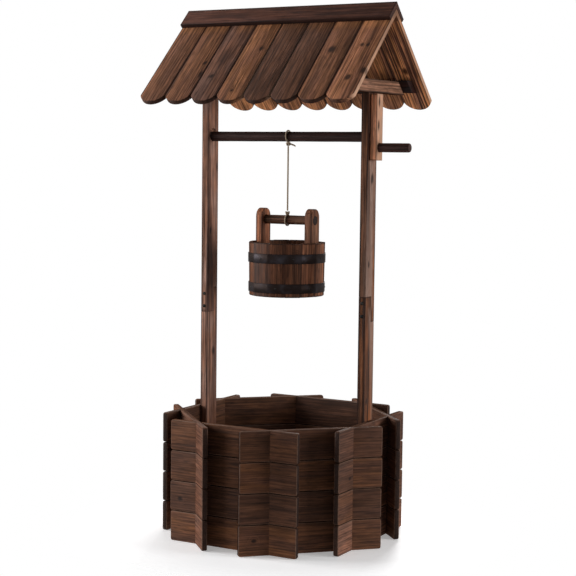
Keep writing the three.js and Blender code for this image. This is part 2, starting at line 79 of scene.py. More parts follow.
def linear(colour: str) -> tuple[float, float, float, float]:
    """Turns an sRGB colour to the linear one that shaders take.

    Args:
        colour: "#rrggbb".

    Returns:
        Red, green and blue, each (s / 12.92) or ((s + 0.055) / 1.055) ** 2.4, and 1.
    """
    s = np.array([int(colour[i : i + 2], 16) for i in (1, 3, 5)]) / 255
    light = np.where(s <= 0.04045, s / 12.92, ((s + 0.055) / 1.055) ** 2.4)
    return (*light.tolist(), 1.0)


def node_box(node: str) -> tuple[np.ndarray, np.ndarray]:
    """Gives a CAD node's lowest and highest corners in millimetres.

    Args:
        node: The node's name.

    Returns:
        Two points.
    """
    low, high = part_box(node)
    return np.array(low) / MM, np.array(high) / MM


def node_bar(node: str) -> tuple[np.ndarray, float]:
    """Gives the middle and the radius of a CAD bar that lies along X."""
    low, high = node_box(node)
    return (low + high) / 2, (high[2] - low[2]) / 2


def add(
    tree: bpy.types.NodeTree, kind: str, *inputs: object, out: int | str = 0, **settings: object
) -> bpy.types.NodeSocket | None:
    """Adds a shader node with its settings and links.

    Args:
        tree: The tree that it goes in.
        kind: The node's type without "ShaderNode", and after a dot the operation it does, if any.
        inputs: What its inputs get, in order or in one dict by name or number: a socket to link,
            or a value.
        out: Which of its outputs to give.
        settings: The node's own properties.

    Returns:
        That output, or None for the node that ends a tree.
    """
    kind, _, operation = kind.partition(".")
    node = tree.nodes.new("ShaderNode" + kind)
    if operation:
        node.operation = operation
    for name, value in settings.items():
        setattr(node, name, value)
    by_key = inputs[0] if inputs and isinstance(inputs[0], dict) else dict(enumerate(inputs))
    for key, value in by_key.items():
        if isinstance(value, bpy.types.NodeSocket):
            tree.links.new(value, node.inputs[key])
        else:
            node.inputs[key].default_value = value
    return node.outputs[out] if node.outputs else None


def emptied(owner: bpy.types.Material | bpy.types.World) -> Put:
    """Empties a material's or the world's tree.

    Args:
        owner: What the tree belongs to.

    Returns:
        What adds a node to the tree.
    """
    owner.use_nodes = True
    owner.node_tree.nodes.clear()
    return partial(add, owner.node_tree)


def unit(vectors: np.ndarray) -> np.ndarray:
    """Gives each vector over its length."""
    return vectors / np.linalg.norm(vectors, axis=-1, keepdims=True)


def stacked(*parts: ArrayLike) -> np.ndarray:
    """Puts coordinates that broadcast together side by side, in a last axis."""
    return np.stack(np.broadcast_arrays(*parts), -1)


def angles(count: int) -> np.ndarray:
    """Gives that many angles, evenly round a circle from 0."""
    return np.arange(count) * 2 * np.pi / count


def turned(out: np.ndarray, along: np.ndarray, turn: np.ndarray) -> tuple[np.ndarray, np.ndarray]:
    """Turns points, given as x and y, about Z by an angle and gives their new x and y."""
    return out * np.cos(turn) - along * np.sin(turn), out * np.sin(turn) + along * np.cos(turn)


def rectangle(left: float, right: float, low: float, high: float) -> np.ndarray:
    """Gives a rectangle's anticlockwise outline."""
    return np.array([[left, low], [right, low], [right, high], [left, high]])


def placed(name: str, data: bpy.types.ID) -> bpy.types.Object:
    """Makes an object and links it to the scene.

    Args:
        name: Its name.
        data: What it shows.

    Returns:
        The object.
    """
    made = bpy.data.objects.new(name, data)
    bpy.context.scene.collection.objects.link(made)
    return made


@dataclass(frozen=True)
class Knot:
    """A knot or a scorched spot on a board, as an oval in the board's own millimetres."""

    along: float
    across: float
    half_length: float
    half_width: float

    def share(self, grain: np.ndarray) -> np.ndarray:
        """Gives each point's place in the oval, which has radius 1.

        Args:
            grain: Points as along, across and through the grain.

        Returns:
            (along - knot's) / half length, (across - knot's) / half width, 0.
        """
        x = (grain[:, 0] - self.along) / self.half_length
        return stacked(x, (grain[:, 1] - self.across) / self.half_width, 0.0)


@dataclass(frozen=True)
class Log:
    """The part of a log that one board was sawn from, and what the flame made of it."""

    heart: tuple[float, float] = (6.0, -34.0)  # the log's centre, across and through, from the board
    start: float = 0.0  # how far up the log the board began, so that no two look alike
    # light is the board's lightness; on some pieces it also holds painted light
    light: float = 1.0
    warm: float = 0.3  # how toasted it is
    grey: float = 0.2  # how much soot was rubbed into it
    soot: float = 0.25  # how dark its clouds are
    streak: float = 0.25  # how dark its streaks are
    line: float = 0.6  # how strong its year lines are
    sides: tuple[float, float] = (0.1, 0.1)  # how pale its narrow sides are, or if negative, how burnt
    end: float = -0.92  # the same for the ends
    knots: tuple[Knot, ...] = ()
    burn: Knot | None = None
    tip: Knot | None = None  # the circle that a rounded end is part of
    under: float = 1.0  # how much lighter its hidden face is painted, as painted light where that face is in shade

    def values(
        self, grain: np.ndarray, side: np.ndarray, end: np.ndarray, half: np.ndarray | float = NO_CORNERS
    ) -> dict[str, np.ndarray]:
        """Works out what the wood's material reads at each point.

        A burnt side begins half way round its easing, and a pale one at once.

        Args:
            grain: Points as along, across and through the grain from the board's middle.
            side: 1 on the board's narrow sides and 0 on its faces.
            end: 1 on the ends of the grain.
            half: The board's half sizes, where its corners caught more of the flame.

        Returns:
            Values by attribute name.
        """
        far = np.full(grain.shape, FAR)
        shift = [self.start, -self.heart[0], -self.heart[1]]
        found = {"place": grain, "grain": grain + shift, "half": np.broadcast_to(half, grain.shape)}
        for i, name in enumerate(KNOT_NAMES):
            found[name] = self.knots[i].share(grain) if i < len(self.knots) else far
        found["burn"] = self.burn.share(grain) if self.burn else far
        found["tip"] = self.tip.share(grain) if self.tip else np.zeros(grain.shape)
        # the hidden face is painted lighter by under: painted light
        light = self.light * np.where(grain[:, 2] < 0, self.under, 1.0)
        found["tone"] = stacked(light, self.warm, self.grey)
        found["scorch"] = np.broadcast_to([self.soot, self.streak, self.line], grain.shape)
        pale = np.where(grain[:, 1] > 0, self.sides[1], self.sides[0])
        side = np.where(pale < 0, np.clip(2 * side - 1, 0, 1), side)
        found["sawn"] = side * pale * (1 - end) + end * self.end
        return found


def random_log(
    rng: np.random.Generator,
    length: float,
    width: float,
    light: tuple[float, float] = (0.85, 1.12),
    knot_chance: float = 0.5,
    **given: object,
) -> Log:
    """Picks where a board was sawn, from a seeded generator.

    Args:
        rng: The generator.
        length: The board's length along the grain.
        width: Its width.
        light: The range of its lightness.
        knot_chance: How likely a knot is.
        given: Any field of Log to set as it is.

    Returns:
        The log.
    """
    draws = rng.random(14)
    radius = 2.2 + 2.6 * draws[1]
    spot = Knot((draws[2] - 0.5) * 0.8 * length, (draws[3] - 0.5) * 0.6 * width, radius * 1.4, radius)
    through = 1.0 if draws[4] < 0.5 else -1.0
    picked = {
        "heart": ((draws[5] - 0.5) * 0.9 * width, through * (12 + 60 * draws[6])),
        "start": 4000 * draws[7],
        "light": light[0] + (light[1] - light[0]) * draws[8],
        "warm": 0.7 * draws[9],
        "grey": 0.6 * draws[10],
        "soot": 0.1 + 0.4 * draws[11],
        "streak": 0.05 + 0.3 * draws[12],
        "line": 0.4 + 0.5 * draws[13],
        "knots": (spot,) if draws[0] < knot_chance else (),
    }
    return Log(**(picked | given))


@dataclass(frozen=True)
class Axes:
    """Where a piece's own u, v and w axes lie in the frame."""

    origin: np.ndarray
    u: np.ndarray
    v: np.ndarray
    w: np.ndarray

    def place(self, points: np.ndarray) -> np.ndarray:
        """Gives origin + u-part * u + v-part * v + w-part * w for each point."""
        return self.origin + points @ np.stack([self.u, self.v, self.w])


WORLD = Axes(np.zeros(3), *np.eye(3))
LENGTHWAYS = Axes(np.zeros(3), np.array([0.0, 1, 0]), UP, np.array([1.0, 0, 0]))


def quads(rows: int, around: int, closed: bool = False) -> np.ndarray:
    """Joins rings of points with four-cornered faces.

    Point j of ring i is number i * around + j. Each ring runs anticlockwise as seen from beyond
    the last.

    Args:
        rows: The number of rings.
        around: The points in each.
        closed: Whether the last ring joins the first.

    Returns:
        The faces, one a row.
    """
    here = np.arange(around)
    after = np.roll(here, -1)
    start = (np.arange(rows if closed else rows - 1) * around)[:, None]
    onward = (start + around) % (rows * around)
    return stacked(start + here, start + after, onward + after, onward + here).reshape(-1, 4)


def tube_faces(rows: int, around: int) -> list[list[int]]:
    """Joins rings of points into a tube, closed by one more point at each end.

    Args:
        rows: The number of rings.
        around: The points in each.

    Returns:
        The faces.
    """
    here = np.arange(around)
    after = np.roll(here, -1)
    count = rows * around
    last = count - around
    low = stacked(after, here, count)
    high = stacked(last + here, last + after, count + 1)
    return quads(rows, around).tolist() + low.tolist() + high.tolist()


def write_mesh(
    name: str,
    points: np.ndarray,
    faces: Sequence[Sequence[int]],
    values: dict[str, np.ndarray] | None = None,
    flat: np.ndarray | None = None,
    crease: float = 40.0,
) -> bpy.types.Object:
    """Makes an object from points in millimetres.

    Args:
        name: The piece's name.
        points: One row for each point.
        faces: The points of each face, anticlockwise from outside.
        values: Point attributes by name, one number or three for each point.
        flat: True for each face that is shaded flat.
        crease: The angle in degrees past which an edge is shaded sharp.

    Returns:
        The object, linked to the scene.
    """
    mesh = bpy.data.meshes.new(name)
    mesh.from_pydata(points * MM, [], faces)
    smooth = np.ones(len(faces), bool) if flat is None else ~flat
    mesh.polygons.foreach_set("use_smooth", smooth)
    mesh.set_sharp_from_angle(angle=math.radians(crease))
    write_values(mesh, values or {})
    return placed(name, mesh)


def write_values(mesh: bpy.types.Mesh, values: dict[str, np.ndarray]) -> None:
    """Stores point attributes in a mesh.

    Args:
        mesh: The mesh.
        values: Arrays by name, one number or three for each point.
    """
    for name, array in values.items():
        wide = array.ndim == 2
        attribute = mesh.attributes.new(name, "FLOAT_VECTOR" if wide else "FLOAT", "POINT")
        attribute.data.foreach_set("vector" if wide else "value", array.astype(np.float32).ravel())
    mesh.update()


def settle(piece: bpy.types.Object, finish: "Finish", body: str, slot: str, *nodes: str) -> None:
    """Gives a piece its material and body, and hides the CAD nodes that it stands for.

    Args:
        piece: The finished piece.
        finish: Its finish.
        body: The CAD body that it moves with.
        slot: The record's material slot; not used.
        nodes: The CAD nodes.
    """
    piece.data.materials.append(finish.material())
    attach(piece, body)
    if nodes:
        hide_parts(*nodes)
    log.info("%s: %d faces, rides on %s", piece.name, len(piece.data.polygons), body)


def inward(outline: np.ndarray) -> np.ndarray:
    """Gives the step at each point that moves both its sides in by 1.

    The step is (n1 + n2) / (1 + n1 . n2), with n1 and n2 the sides' inward normals.

    Args:
        outline: An anticlockwise outline.

    Returns:
        One step for each point.
    """
    ahead = unit(np.roll(outline, -1, 0) - outline)
    after = stacked(-ahead[:, 1], ahead[:, 0])
    before = np.roll(after, 1, 0)
    # the step grows no more once the outline turns by 139 degrees
    spread = np.maximum(1 + (after * before).sum(1), 0.25)
    return (after + before) / spread[:, None]


def round_corners(corners: np.ndarray, radius: float, steps: int = 3) -> np.ndarray:
    """Rounds every corner of an outline.

    Each corner becomes an arc that touches both its sides at radius / tan(half its angle).

    Args:
        corners: An anticlockwise outline.
        radius: The arcs' radius.
        steps: Segments in each arc.

    Returns:
        The rounded outline.
    """
    back = unit(np.roll(corners, 1, 0) - corners)
    ahead = unit(np.roll(corners, -1, 0) - corners)
    half = np.arccos(np.clip((back * ahead).sum(1), -1, 1)) / 2
    centre = corners + unit(back + ahead) * (radius / np.sin(half))[:, None]
    first = corners + back * (radius / np.tan(half))[:, None] - centre
    last = corners + ahead * (radius / np.tan(half))[:, None] - centre
    share = np.linspace(0, 1, steps + 1)[None, :, None]
    swing = (np.pi - 2 * half)[:, None, None]
    arc = np.sin((1 - share) * swing) * first[:, None] + np.sin(share * swing) * last[:, None]
    return (centre[:, None] + arc / np.sin(swing)).reshape(-1, 2)


class Along(Enum):
    """Which of a board's own axes its grain follows."""

    U = (0, 1, 2)
    V = (1, 0, 2)
    W = (2, 0, 1)


@dataclass(frozen=True)
class Board:
    """A board cut to an outline in its u and v, and thick in w, with eased edges."""

    outline: np.ndarray
    low: float
    high: float
    edge: float = 1.2
    ease: np.ndarray | float = 1.0  # how much of the easing each outline point gets
    lean: np.ndarray | float = 0.0  # how far u shifts for each millimetre of w
    along: Along = Along.U
    steps: int = 3
    dig: np.ndarray | None = None  # a groove: how far each outline point moves in it
    dig_from: float = 0.0
    dig_to: float = 0.0

    def levels(self) -> np.ndarray:
        """Works out the rings that run round the board, from the low face to the high one.

        On an eased edge, a from 0 to a quarter turn gives inset edge * (1 - cos a) and depth
        edge * (1 - sin a).

        Returns:
            Rows of w, inset, share of the groove, and 1 on the side or less on the easing.
        """
        a = np.linspace(0, np.pi / 2, self.steps + 1)
        inset = self.edge * (1 - np.cos(a))
        depth = self.edge * (1 - np.sin(a))
        bottom = stacked(self.low + depth, inset, 0.0, np.cos(a))[::-1]
        top = stacked(self.high - depth, inset, 0.0, np.cos(a))
        if self.dig is None:
            return np.concatenate([bottom, top])
        groove = stacked(np.repeat([self.dig_from, self.dig_to], 2), 0.0, [0.0, 1, 1, 0], 1.0)
        return np.concatenate([bottom, groove, top])

    def build(
        self,
        name: str,
        axes: Axes,
        wood: Log,
        bend: Callable[[np.ndarray], np.ndarray] | None = None,
    ) -> bpy.types.Object:
        """Builds the board's mesh: ring after ring of its outline, closed by its two faces.

        Args:
            name: The piece's name.
            axes: Where the board lies.
            wood: Where it was sawn.
            bend: What moves its own points before they are placed, if anything does.

        Returns:
            The object.
        """
        levels = self.levels()
        count = len(self.outline)
        step = inward(self.outline) * np.broadcast_to(self.ease, count)[:, None]
        flat = self.outline + levels[:, 1, None, None] * step
        if self.dig is not None:
            flat = flat + levels[:, 2, None, None] * self.dig
        w = levels[:, :1]
        points = stacked(flat[..., 0] + self.lean * w, flat[..., 1], w).reshape(-1, 3)

        ring = np.arange(count)
        last = (len(levels) - 1) * count
        faces = quads(len(levels), count).tolist() + [ring[::-1].tolist(), (last + ring).tolist()]
        caps = np.arange(len(faces)) >= len(faces) - 2

        order = self.along.value
        grain = points[:, order]
        low, high = grain.min(0), grain.max(0)
        side = np.repeat(levels[:, 3], count)
        if self.along is Along.W:
            end = 1 - side
            side = np.zeros_like(side)
        else:
            facing = np.abs(unit(inward(self.outline)))[:, order[0]]
            end = side * np.tile(np.clip(facing * 2 - 1, 0, 1), len(levels))
        values = wood.values(grain - (low + high) / 2, side, end, (high - low) / 2)
        if bend is not None:
            points = bend(points)
        return write_mesh(name, axes.place(points), faces, values, caps)


@dataclass(frozen=True)
class Turning:
    """A round bar turned to a profile, along its axes' w."""

    profile: np.ndarray  # rows of w and radius, from the low end to the high one
    sides: int = 40
    unevenness: float = 0.012
    end_edge: float = 0.4  # how far from its ends it counts as sawn

    def build(self, name: str, axes: Axes, wood: Log) -> bpy.types.Object:
        """Builds the bar: its profile carried round the axis, with a point at each end.

        The radius is the profile's, times 1 + unevenness * sin(2 angle + w / 37) * sin(w / 23).

        Args:
            name: The piece's name.
            axes: Where the bar lies.
            wood: Where it was sawn.

        Returns:
            The object.
        """
        angle = angles(self.sides)
        w = self.profile[:, :1]
        wave = 1 + self.unevenness * np.sin(2 * angle + w / 37) * np.sin(w / 23)
        radius = self.profile[:, 1:] * wave
        ring = stacked(radius * np.cos(angle), radius * np.sin(angle), w).reshape(-1, 3)
        points = np.concatenate([ring, [[0, 0, w[0, 0]], [0, 0, w[-1, 0]]]])

        grain = points[:, [2, 0, 1]]
        from_end = np.minimum(grain[:, 0] - grain[0, 0], grain[-1, 0] - grain[:, 0])
        end = np.clip(1 - from_end / self.end_edge, 0, 1)
        values = wood.values(grain - [grain[:, 0].mean(), 0, 0], np.zeros(len(points)), end)
        return write_mesh(name, axes.place(points), tube_faces(len(w), self.sides), values)


def eased_copy(node: str, name: str, edge: float, wood: Log, pale: bool = True) -> bpy.types.Object:
    """Copies a CAD node's shape, merges its triangles and eases its corners.

    The grain runs along Z, with Y across it and X through it.

    Args:
        node: The CAD node.
        name: The piece's name.
        edge: The width of the easing in millimetres.
        wood: Where the piece was sawn.
        pale: Whether its +X face counts as a narrow side, sawn after the flame.

    Returns:
        The object.
    """
    flat, corner, crease = (math.radians(a) for a in (1, 35, 25))
    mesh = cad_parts[node].data.copy()
    mesh.name = name
    mesh.materials.clear()
    shell = bmesh.new()
    shell.from_mesh(mesh)
    bmesh.ops.remove_doubles(shell, verts=shell.verts, dist=0.001 * MM)
    bmesh.ops.dissolve_limit(shell, angle_limit=flat, verts=shell.verts, edges=shell.edges)
    corners = [e for e in shell.edges if e.calc_face_angle(0.0) > corner]
    how = {"segments": 3, "profile": 0.5, "affect": "EDGES", "clamp_overlap": True}
    bmesh.ops.bevel(shell, geom=corners, offset=edge * MM, **how)
    shell.to_mesh(mesh)
    shell.free()
    points = np.zeros(len(mesh.vertices) * 3, np.float32)
    mesh.vertices.foreach_get("co", points)
    points = points.reshape(-1, 3).astype(float) / MM
    low, high = points.min(0), points.max(0)
    side = np.clip((points[:, 0] - high[0]) / edge + 1, 0, 1) * pale
    grain = (points - (low + high) / 2)[:, ::-1]
    from_end = np.abs(grain[:, 0]).max() - np.abs(grain[:, 0])
    end = np.clip(1 - from_end / (0.7 * edge), 0, 1)
    mesh.polygons.foreach_set("use_smooth", np.ones(len(mesh.polygons), bool))
    mesh.set_sharp_from_angle(angle=crease)
    write_values(mesh, wood.values(grain, side, end, ((high - low) / 2)[::-1]))
    return placed(name, mesh)


def turned_bar(name: str, node: str, wood: Log, chamfer: float, dome: float) -> bpy.types.Object:
    """Makes a round bar along X from its CAD node.

    Args:
        name: The piece's name.
        node: The CAD node.
        wood: Where it was sawn.
        chamfer: How wide the easing of its -X end is.
        dome: How wide the rounding of its +X end is.

    Returns:
        The object.
    """
    low, high = node_box(node)
    centre, radius = node_bar(node)
    rings, clear = 60, (3.0, 4.0)  # the body's, and how far from the bar's ends they stop
    a = np.linspace(0, np.pi / 2, 5)
    start = stacked(low[0] + chamfer * (1 - np.cos(a)), radius - chamfer * (1 - np.sin(a)))
    body = stacked(np.linspace(low[0] + clear[0], high[0] - clear[1], rings), radius)
    finish = stacked(high[0] - dome * (1 - np.sin(a)), radius - dome * (1 - np.cos(a)))
    axes = replace(LENGTHWAYS, origin=centre * [0, 1, 1])
    return Turning(np.concatenate([start, body, finish])).build(name, axes, wood)


@dataclass(frozen=True)
class Finish:
    """A surface's finish, which becomes a material the first time it is asked for."""

    name: str

    def material(self) -> bpy.types.Material:
        """Makes the material, or gives the one that was made before.

        Returns:
            The material.
        """
        made = bpy.data.materials.get(self.name)
        if made is None:
            made = bpy.data.materials.new(self.name)
            self.dress(emptied(made))
        return made

    def dress(self, put: Put) -> None:
        """Fills the material's tree.

        Args:
            put: Adds a node to it.
        """
        raise NotImplementedError


@dataclass(frozen=True)
class CharredFir(Finish):
    """Fir charred with a flame and brushed: raised year lines, sooty clouds and streaks, satin."""

    early: str  # the wide, softer part of a year ring
    late: str  # the narrow, harder part
    warm: str  # where the flame only toasted it
    cool: str  # where soot was rubbed into it
    char: str  # where it burnt
    sawn: str  # cut after the flame
    ring: float = 5.5  # millimetres from one year ring to the next
    contrast: float = 0.75
    thread: float = 0.5  # how much lighter or darker narrow threads are
    hair: float = 0.85  # how dark the thinnest lines are
    fleck: float = 0.5  # how dark short cracks and flecks are
    mottle: float = 0.16  # how much lighter or darker small patches are
    rim: float = 0.8  # how dark the flame left the corners
    worn: float = 0.0  # how pale the corners are painted: rubbed wear, and a painted highlight along the edges
    toasted_top: float = 0.0  # up to how far from its upper end a board is only toasted
    roughness: float = 0.62
    tip_radius: float = 35.6

    def dress(self, put: Put) -> None:
        """Fills the material's tree.

        A point's distance from the log's heart, swayed by noise and pushed aside by knots, over
        the ring width gives its place in a year ring. Latewood is the end of each ring. Streaks,
        clouds, flecks, mottling and toasted places are noise drawn out along the grain. The
        distance to the nearest corner is the middle one of the distances to the board's three
        pairs of faces. The sheen fades towards a glancing view.

        Args:
            put: Adds a node to the tree.
        """
        vectors = {}
        for name in ("grain", "place", "half", "tip", "burn", "tone", "scorch"):
            vectors[name] = put("Attribute", attribute_name=name, out="Vector")
        grain = vectors["grain"]
        light, warm, grey = put("SeparateXYZ", vectors["tone"]).node.outputs
        soot, streak, line = put("SeparateXYZ", vectors["scorch"]).node.outputs
        sawn = put("Attribute", attribute_name="sawn", out="Fac")

        # millimetres along and across the grain for one spot of each mark, and its detail
        marks = {
            "sway": (210, 38, 1.5),
            "swell": (320, 26, 1.0),
            "fibre": (40, 1.1, 2.0),
            "thread": (150, 3.3, 2.0),
            "hair": (120, 4.0, 2.0),
            "streak": (240, 5.0, 2.0),
            "cloud": (95, 42, 3.0),
            "glow": (130, 24, 2.0),
            "ragged": (18, 6.0, 2.0),
            "fleck": (30, 2.8, 1.0),
            "mottle": (34, 13, 3.0),
        }
        noise = {}
        for mark, (along, across, detail) in marks.items():
            scaled = put("VectorMath.MULTIPLY", grain, (1 / along, 1 / across, 1 / across))
            noise[mark] = put("TexNoise", {"Vector": scaled, "Scale": 1.0, "Detail": detail}, out="Fac")

        core = 0.0
        push = 0.0
        for name in KNOT_NAMES:
            spot = put("Attribute", attribute_name=name, out="Vector")
            reach = put("VectorMath.LENGTH", spot, out="Value")
            reach = put("Math.MULTIPLY_ADD", noise["fleck"], 1.4, reach)
            dark = put("MapRange", reach, 2.6, 1.2, interpolation_type="SMOOTHSTEP")
            core = put("Math.MAXIMUM", dark, core)
            aside = put("MapRange", reach, 4.9, 1.3, 0.0, 11.0, interpolation_type="SMOOTHSTEP")
            push = put("Math.ADD", aside, push)

        away = put("VectorMath.LENGTH", put("VectorMath.MULTIPLY", grain, (0, 1, 1)), out="Value")
        away = put("Math.MULTIPLY_ADD", noise["sway"], 30.0, away)
        away = put("Math.MULTIPLY_ADD", put("SeparateXYZ", grain), 0.022, away)
        away = put("Math.ADD", away, push)
        turn = put("Math.FRACT", put("Math.DIVIDE", away, self.ring))

        local = put("VectorMath.ABSOLUTE", vectors["place"])
        left = put("VectorMath.SUBTRACT", vectors["half"], local)
        end_left, side_left, face_left = put("SeparateXYZ", left).node.outputs
        tip_reach = put("VectorMath.LENGTH", vectors["tip"], out="Value")
        arc = put("Math.MULTIPLY_ADD", tip_reach, -self.tip_radius, self.tip_radius)
        off_tip = put("MapRange", put("SeparateXYZ", vectors["tip"]), 0.3, 0.5, 200.0, 0.0)
        end_left = put("Math.MINIMUM", end_left, put("Math.ADD", arc, off_tip))
        nearest = put("Math.MINIMUM", end_left, side_left)
        further = put("Math.MINIMUM", put("Math.MAXIMUM", end_left, side_left), face_left)
        corner = put("Math.MAXIMUM", nearest, further)
        corner = put("Math.MULTIPLY_ADD", noise["ragged"], 2.4, corner)
        half_along = put("SeparateXYZ", vectors["half"])
        from_top = put("Math.ADD", half_along, put("SeparateXYZ", vectors["place"]))
        from_top = put("Math.MULTIPLY_ADD", noise["glow"], 30.0, from_top)
        burn_reach = put("VectorMath.LENGTH", vectors["burn"], out="Value")
        burn_reach = put("Math.MULTIPLY_ADD", noise["ragged"], 0.8, burn_reach)

        # a board with darker streaks also has more of them
        onset = put("Math.MULTIPLY_ADD", streak, -0.14, 0.6)
        onset_end = put("Math.ADD", onset, 0.08)
        # how much of each mark there is as a value goes from low to high
        top = self.toasted_top + 15.0
        ramps = {
            "rise": (turn, 0.35, 0.88, 0.0, 1.0),
            "fall": (turn, 1.0, 0.92, 0.0, 1.0),
            "swell": (noise["swell"], 0.36, 0.6, 0.3, 1.0),
            "streak": (noise["streak"], onset, onset_end, 0.0, 1.0),
            "hair": (noise["hair"], 0.5, 0.57, 0.0, self.hair),
            "cloud": (noise["cloud"], 0.4, 0.66, 0.0, 1.0),
            "haze": (noise["cloud"], 0.6, 0.35, 0.4, 1.0),
            "glow": (noise["glow"], 0.35, 0.62, 0.15, 1.0),
            "top": (from_top, top + 12.0, top - 16.0, 0.0, 0.75 if self.toasted_top else 0.0),
            "burnt": (burn_reach, 1.8, 0.7, 0.0, 0.8),
            "rim": (corner, 5.6, 2.1, 0.0, self.rim),
            "worn": (corner, 3.4, 1.4, 0.0, self.worn),
            "thread": (noise["thread"], 0.32, 0.68, 1 - self.thread, 1 + self.thread),
            "fibre": (noise["fibre"], 0.2, 0.8, 0.86, 1.14),
            "mottle": (noise["mottle"], 0.3, 0.7, 1 - self.mottle, 1 + self.mottle),
            "fleck": (noise["fleck"], 0.56, 0.68, 0.0, self.fleck),
            "bare": (noise["ragged"], 0.3, 0.6, 0.7, 1.0),
            "rough": (noise["fibre"], 0.2, 0.8, self.roughness + 0.12, self.roughness - 0.08),
        }
        share = {}
        for name, ramp in ramps.items():
            share[name] = put("MapRange", *ramp, interpolation_type="SMOOTHSTEP")

        late = put("Math.MULTIPLY", share["rise"], share["fall"])
        late = put("Math.MULTIPLY", late, share["swell"])
        lines = put("Math.MAXIMUM", put("Math.MULTIPLY", late, self.contrast), share["hair"])
        lines = put("Math.MULTIPLY", lines, line)
        toasted = put("Math.MAXIMUM", put("Math.MULTIPLY", share["glow"], warm), share["top"])
        sooty = put("Math.MULTIPLY", share["haze"], grey)
        burnt = put("Math.MULTIPLY", share["streak"], streak)
        burnt = put("Math.MULTIPLY_ADD", share["cloud"], soot, burnt)
        burnt = put("Math.MINIMUM", burnt, 0.88)
        ends = put("Math.MULTIPLY", sawn, -1.0)
        for more in (share["burnt"], share["rim"], share["fleck"], ends):
            burnt = put("Math.MAXIMUM", burnt, more)
        # sawn colour on the narrow sides, and on the corners as rubbed wear with a painted highlight
        bare = put("Math.MULTIPLY", put("Math.MAXIMUM", sawn, share["worn"]), share["bare"])
        knotty = put("Math.MULTIPLY", core, 0.9)

        gain = light
        for name in ("thread", "fibre", "mottle"):
            gain = put("Math.MULTIPLY", gain, share[name])
        colour = linear(self.early)
        coats = ((lines, self.late), (toasted, self.warm), (sooty, self.cool), (burnt, self.char))
        for amount, coat in coats:
            colour = put("Mix", {0: amount, 6: colour, 7: linear(coat)}, out=2, data_type="RGBA")
        colour = put("VectorMath.SCALE", {0: colour, 3: gain})
        for amount, coat in ((bare, self.sawn), (knotty, KNOT_CORE)):
            colour = put("Mix", {0: amount, 6: colour, 7: linear(coat)}, out=2, data_type="RGBA")

        height = put("Math.MULTIPLY_ADD", noise["fibre"], 0.5, late)
        height = put("Math.MULTIPLY_ADD", core, -0.6, height)
        bump = put("Bump", {"Strength": 0.6, "Distance": 0.5 * MM, "Height": height})
        # charred fibres hide each other from a glancing view, so the sheen fades there
        sheen = put("MapRange", put("LayerWeight", out="Facing"), 0.5, 0.8, 0.1, 0.0)
        inputs = {"Base Color": colour, "Roughness": share["rough"], "Normal": bump}
        inputs["Specular IOR Level"] = sheen
        put("OutputMaterial", {"Surface": put("BsdfPrincipled", inputs)})


@dataclass(frozen=True)
class BlackenedSteel(Finish):
    """Steel with a black oxide skin: dark, softly shiny, a little greyer where it was handled."""

    skin: str
    rubbed: str
    roughness: float = 0.38
    edge_tint: str = "#d0cbc9"  # what a glancing view of the skin gives back

    def dress(self, put: Put) -> None:
        """Fills the material's tree from two sizes of noise on Object coordinates.

        Args:
            put: Adds a node to the tree.
        """
        here = put("TexCoord", out="Object")
        # blotches of the oxide are about 25 mm across, and its grain about 1 mm
        blotch = put("TexNoise", {"Vector": here, "Scale": 1000 / 25, "Detail": 3.0}, out="Fac")
        grit = put("TexNoise", {"Vector": here, "Scale": 1000.0, "Detail": 2.0}, out="Fac")
        amount = put("MapRange", blotch, 0.4, 0.8, interpolation_type="SMOOTHSTEP")
        inputs = {0: amount, 6: linear(self.skin), 7: linear(self.rubbed)}
        colour = put("Mix", inputs, out=2, data_type="RGBA")
        rough = put("MapRange", grit, 0.0, 1.0, self.roughness - 0.08, self.roughness + 0.14)
        bump = put("Bump", {"Strength": 0.25, "Distance": 0.1 * MM, "Height": grit})
        inputs = {"Base Color": colour, "Metallic": 0.85, "Roughness": rough, "Normal": bump}
        inputs["Specular Tint"] = linear(self.edge_tint)
        put("OutputMaterial", {"Surface": put("BsdfPrincipled", inputs)})


@dataclass(frozen=True)
class TwistedJute(Finish):
    """Jute cord of twisted strands: straw-coloured, dull and hairy, with painted shade between the strands.
    """

    straw: str
    shade: str

    def dress(self, put: Put) -> None:
        """Fills the material's tree with fibres along the strands and a painted shade between them.

        Args:
            put: Adds a node to the tree.
        """
        strand = put("Attribute", attribute_name="strand", out="Vector")
        crest = put("Attribute", attribute_name="crest", out="Fac")
        # fibres are drawn 0.4 mm wide, coarser than real ones, so that they show
        scaled = put("VectorMath.MULTIPLY", strand, (0.12, 2.5, 2.5))
        fibre = put("TexNoise", {"Vector": scaled, "Scale": 1.0, "Detail": 3.0}, out="Fac")
        spread = put("MapRange", put("Math.MULTIPLY", crest, fibre), 0.05, 0.5)
        inputs = {0: spread, 6: linear(self.shade), 7: linear(self.straw)}
        colour = put("Mix", inputs, out=2, data_type="RGBA")
        bump = put("Bump", {"Strength": 0.7, "Distance": 0.3 * MM, "Height": fibre})
        inputs = {"Base Color": colour, "Roughness": 0.95, "Normal": bump, "Specular IOR Level": 0.2}
        put("OutputMaterial", {"Surface": put("BsdfPrincipled", inputs)})


@dataclass(frozen=True)
class StudioWhite(Finish):
    """The studio's pale floor, which fades into the white round it."""

    def dress(self, put: Put) -> None:
        """Fills the material's tree, clear from 0.5 m off the middle.

        Args:
            put: Adds a node to the tree.
        """
        reach = put("VectorMath.LENGTH", put("TexCoord", out="Object"), out="Value")
        fade = put("MapRange", reach, 0.3, 0.5, interpolation_type="SMOOTHSTEP")
        inputs = {"Base Color": linear("#f7f7f8"), "Roughness": 0.5, "Specular IOR Level": 0.3}
        glow = {"Emission Color": (1, 1, 1, 1), "Emission Strength": 0.3}
        both = put("MixShader", fade, put("BsdfPrincipled", inputs | glow), put("BsdfTransparent"))
        put("OutputMaterial", both)


def fir(name: str, colours: str, **settings: float) -> CharredFir:
    """Makes a fir's finish from its early, late, warm, cool, char and sawn colours in one line."""
    return CharredFir(name, *colours.split(), **settings)


